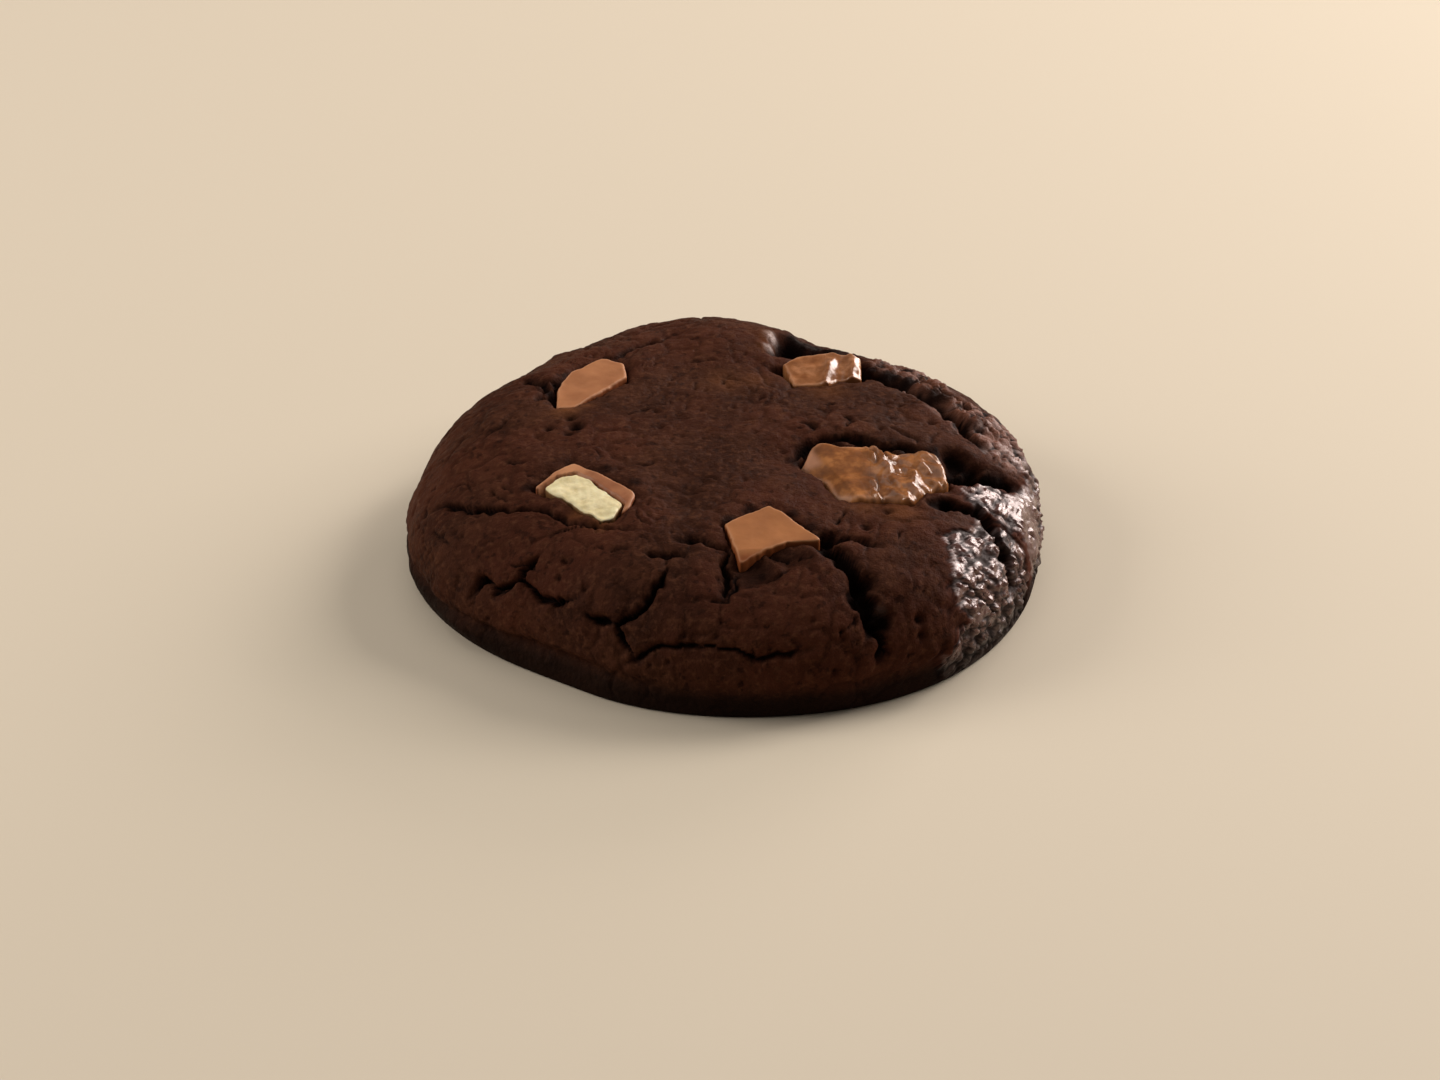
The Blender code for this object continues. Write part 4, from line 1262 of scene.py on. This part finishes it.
def dough_material():
    """Dark baked cocoa dough, satin, with painted shade in cracks and foot, and a shiny crust."""
    material, tree, shader = new_material("baked_cocoa_dough")
    tone = ramp(tree, object_noise(tree, *DOUGH_PATCHES), DOUGH_TONES)
    for texture, stops, share, colour in DOUGH_SPECKLES:
        tone = tint(tree, tone, ramp(tree, object_noise(tree, *texture), stops), share, colour)
    tone = tint_by_marks(tree, tone, DOUGH_TINTS)
    tree.links.new(tone, shader.inputs["Base Color"])
    wet = mark_value(tree, "gloss")
    worn = ramp(tree, object_noise(tree, *DOUGH_WEAR), DOUGH_ROUGHNESS)
    tree.links.new(mix(tree, wet, worn, WET_DOUGH_ROUGHNESS), shader.inputs["Roughness"])
    shader.inputs["Specular Tint"].default_value = rgba(DOUGH_SPECULAR_TINT)
    gloss = mix(tree, wet, *DOUGH_GLOSS)
    tree.links.new(gloss, shader.inputs["Specular IOR Level"])
    cells = tree.nodes.new("ShaderNodeTexVoronoi")
    cells.feature = "SMOOTH_F1"
    cells.inputs["Scale"].default_value = CRUST_CELLS
    place = tree.nodes.new("ShaderNodeTexCoord")
    tree.links.new(place.outputs["Object"], cells.inputs["Vector"])
    dry = maths(tree, "SUBTRACT", 1.0, mark_value(tree, "crust"))
    grains = maths(tree, "MULTIPLY", cells.outputs["Distance"], mark_value(tree, "grain"))
    medium = maths(tree, "MULTIPLY", object_noise(tree, *MEDIUM_DOUGH_BUMPS), dry)
    fine = maths(tree, "MULTIPLY", object_noise(tree, *FINE_DOUGH_BUMPS), dry)
    bump(tree, shader, ((medium, *MEDIUM_DOUGH_BUMP_SIZE),
                        (fine, *FINE_DOUGH_BUMP_SIZE),
                        (maths(tree, "SUBTRACT", 1.0, grains), *CRUST_CELL_BUMP_SIZE)))
    return material


def chocolate_material(name, dark, light, roughness, gloss):
    """Milk chocolate with faint mottling and a soft sheen."""
    material, tree, shader = new_material(name)
    tones = tuple(zip(CHOCOLATE_TONE_STOPS, (dark, light)))
    tone = ramp(tree, object_noise(tree, *CHOCOLATE_MOTTLE), tones)
    # Painted shade darkens the sides and the bent face; a painted highlight lightens the top edge.
    shadow = tuple(share * part for share, part in zip(CHOCOLATE_SHADOW, dark))
    tone = tint_by_marks(tree, tone, (("side", CHOCOLATE_SIDE_SHARE, shadow),
                                      ("edge", CHOCOLATE_EDGE_SHARE, PAINTED_EDGE_HIGHLIGHT)))
    tree.links.new(tone, shader.inputs["Base Color"])
    wear = tuple(zip(CHOCOLATE_WEAR_STOPS, (roughness - ROUGHNESS_CHANGE,
                                            roughness + ROUGHNESS_CHANGE)))
    worn = ramp(tree, object_noise(tree, *CHOCOLATE_WEAR), wear)
    tree.links.new(worn, shader.inputs["Roughness"])
    shader.inputs["Specular IOR Level"].default_value = gloss
    let_light_in(shader, *CHOCOLATE_DEPTH)
    bump(tree, shader, ((object_noise(tree, *CHOCOLATE_BUMPS), *CHOCOLATE_BUMP_SIZE),))
    return material


def melted_material(name, tones):
    """Melted and set chocolate: golden and softly mottled, wet and wrinkled at its right."""
    material, tree, shader = new_material(name)
    stops = tuple(zip(MELTED_TONE_STOPS, tones))
    tone = ramp(tree, object_noise(tree, *MELTED_MOTTLE), stops)
    # The top edge and the left tip are painted lighter: painted highlights.
    tree.links.new(tint_by_marks(tree, tone, MELTED_TINTS), shader.inputs["Base Color"])
    shader.inputs["Specular Tint"].default_value = rgba(MELTED_SPECULAR_TINT)
    wet = mark_value(tree, "wet")
    tree.links.new(mix(tree, wet, *MELTED_ROUGHNESS), shader.inputs["Roughness"])
    tree.links.new(mix(tree, wet, *MELTED_GLOSS), shader.inputs["Specular IOR Level"])
    let_light_in(shader, *CHOCOLATE_DEPTH)
    bump(tree, shader, ((object_noise(tree, *MELTED_BUMPS), *MELTED_BUMP_SIZE),))
    return material


def cream_material():
    """Pale cream filling, matte, with a fine broken grain."""
    material, tree, shader = new_material("cream_filling")
    tone = ramp(tree, object_noise(tree, *CREAM_MOTTLE), CREAM_TONES)
    # The cream's sides are coloured dark brown.
    dark_sided_tone = mix(tree, mark_value(tree, "side"), tone, CREAM_SIDE)
    tree.links.new(dark_sided_tone, shader.inputs["Base Color"])
    shader.inputs["Roughness"].default_value = CREAM_ROUGHNESS
    shader.inputs["Specular IOR Level"].default_value = CREAM_GLOSS
    let_light_in(shader, *CREAM_DEPTH)
    bump(tree, shader, ((object_noise(tree, *CREAM_BUMPS), *CREAM_BUMP_SIZE),))
    return material


def finish_piece(piece, material, node):
    """Give a piece its material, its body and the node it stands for."""
    piece.data.materials.append(material)
    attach(piece, "root")
    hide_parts(node)


def make_camera():
    """Make the camera at the photograph's viewing angle."""
    data = bpy.data.cameras.new("camera")
    data.sensor_width = SENSOR_WIDTH
    data.lens = CAMERA_LENS
    data.clip_start = CAMERA_NEAR_END
    camera = add_object("camera", data)
    camera.location = np.array(CAMERA_PLACE) * METRES_PER_MM
    camera.rotation_euler = (math.pi / 2 - CAMERA_LOOKS_DOWN, 0.0, 0.0)
    bpy.context.scene.camera = camera


def make_floor():
    """Make the plain pale floor."""
    data = bpy.data.meshes.new("floor")
    half = FLOOR_SIZE / 2
    corners = [(-half, -half, 0.0), (half, -half, 0.0), (half, half, 0.0), (-half, half, 0.0)]
    data.from_pydata(corners, [], [(0, 1, 2, 3)])
    floor = add_object("floor", data)
    material, _, shader = new_material("pale_floor")
    shader.inputs["Base Color"].default_value = rgba(FLOOR_COLOUR)
    shader.inputs["Roughness"].default_value = FLOOR_ROUGHNESS
    shader.inputs["Specular IOR Level"].default_value = FLOOR_GLOSS
    data.materials.append(material)


def make_area_light(name, place, aim_height, size, power, colour):
    """Make a soft rectangular light that points at a place above the floor's middle."""
    data = bpy.data.lights.new(name, "AREA")
    data.shape = "RECTANGLE"
    data.size = size[0]
    data.size_y = size[1]
    data.energy = power
    data.color = colour
    light = add_object(name, data)
    light.location = place
    tilt = math.atan2(math.hypot(place[0], place[1]), place[2] - aim_height)
    light.rotation_euler = (tilt, 0.0, math.atan2(place[1], place[0]) + math.pi / 2)


def make_lights():
    """Make plain soft studio light, brightest from the back right."""
    for light in LIGHTS:
        make_area_light(*light)
    world = bpy.data.worlds.new("studio")
    world.use_nodes = True
    background = world.node_tree.nodes["Background"]
    background.inputs["Color"].default_value = rgba(SURROUND_COLOUR)
    background.inputs["Strength"].default_value = SURROUND_STRENGTH
    bpy.context.scene.world = world
    bpy.context.scene.view_settings.view_transform = "Standard"


def main():
    """Make the pieces, the floor, the lights and the camera."""
    make_camera()
    finish_piece(make_dough(), dough_material(), "dough")
    for node, piece_name, slot, detail, look in (
            ("chunk_back_left", "chocolate_back_left", "milk_chocolate", flat_detail,
             BACK_LEFT_CHOCOLATE),
            ("chunk_front", "chocolate_front", "milk_chocolate", front_detail, FRONT_CHOCOLATE),
            ("filled_chunk_shell", "filled_shell", "filled_shell", shell_detail,
             SHELL_CHOCOLATE)):
        chunk = make_chunk(node, piece_name, detail)
        finish_piece(chunk, chocolate_material(*look), node)
    cream = make_chunk("filled_chunk_cream", "filled_cream", cream_detail)
    finish_piece(cream, cream_material(), "filled_chunk_cream")
    right = make_chunk("chunk_right", "chocolate_right", melted_detail, WET_FROM_ON_RIGHT)
    finish_piece(right, melted_material("melted_chocolate_right", RIGHT_TONES), "chunk_right")
    back_right = make_chunk("chunk_back_right", "chocolate_back_right", ridged_detail,
                            WET_FROM_ON_BACK_RIGHT)
    finish_piece(back_right, melted_material("melted_chocolate_back", BACK_TONES),
                 "chunk_back_right")
    make_floor()
    make_lights()


main()
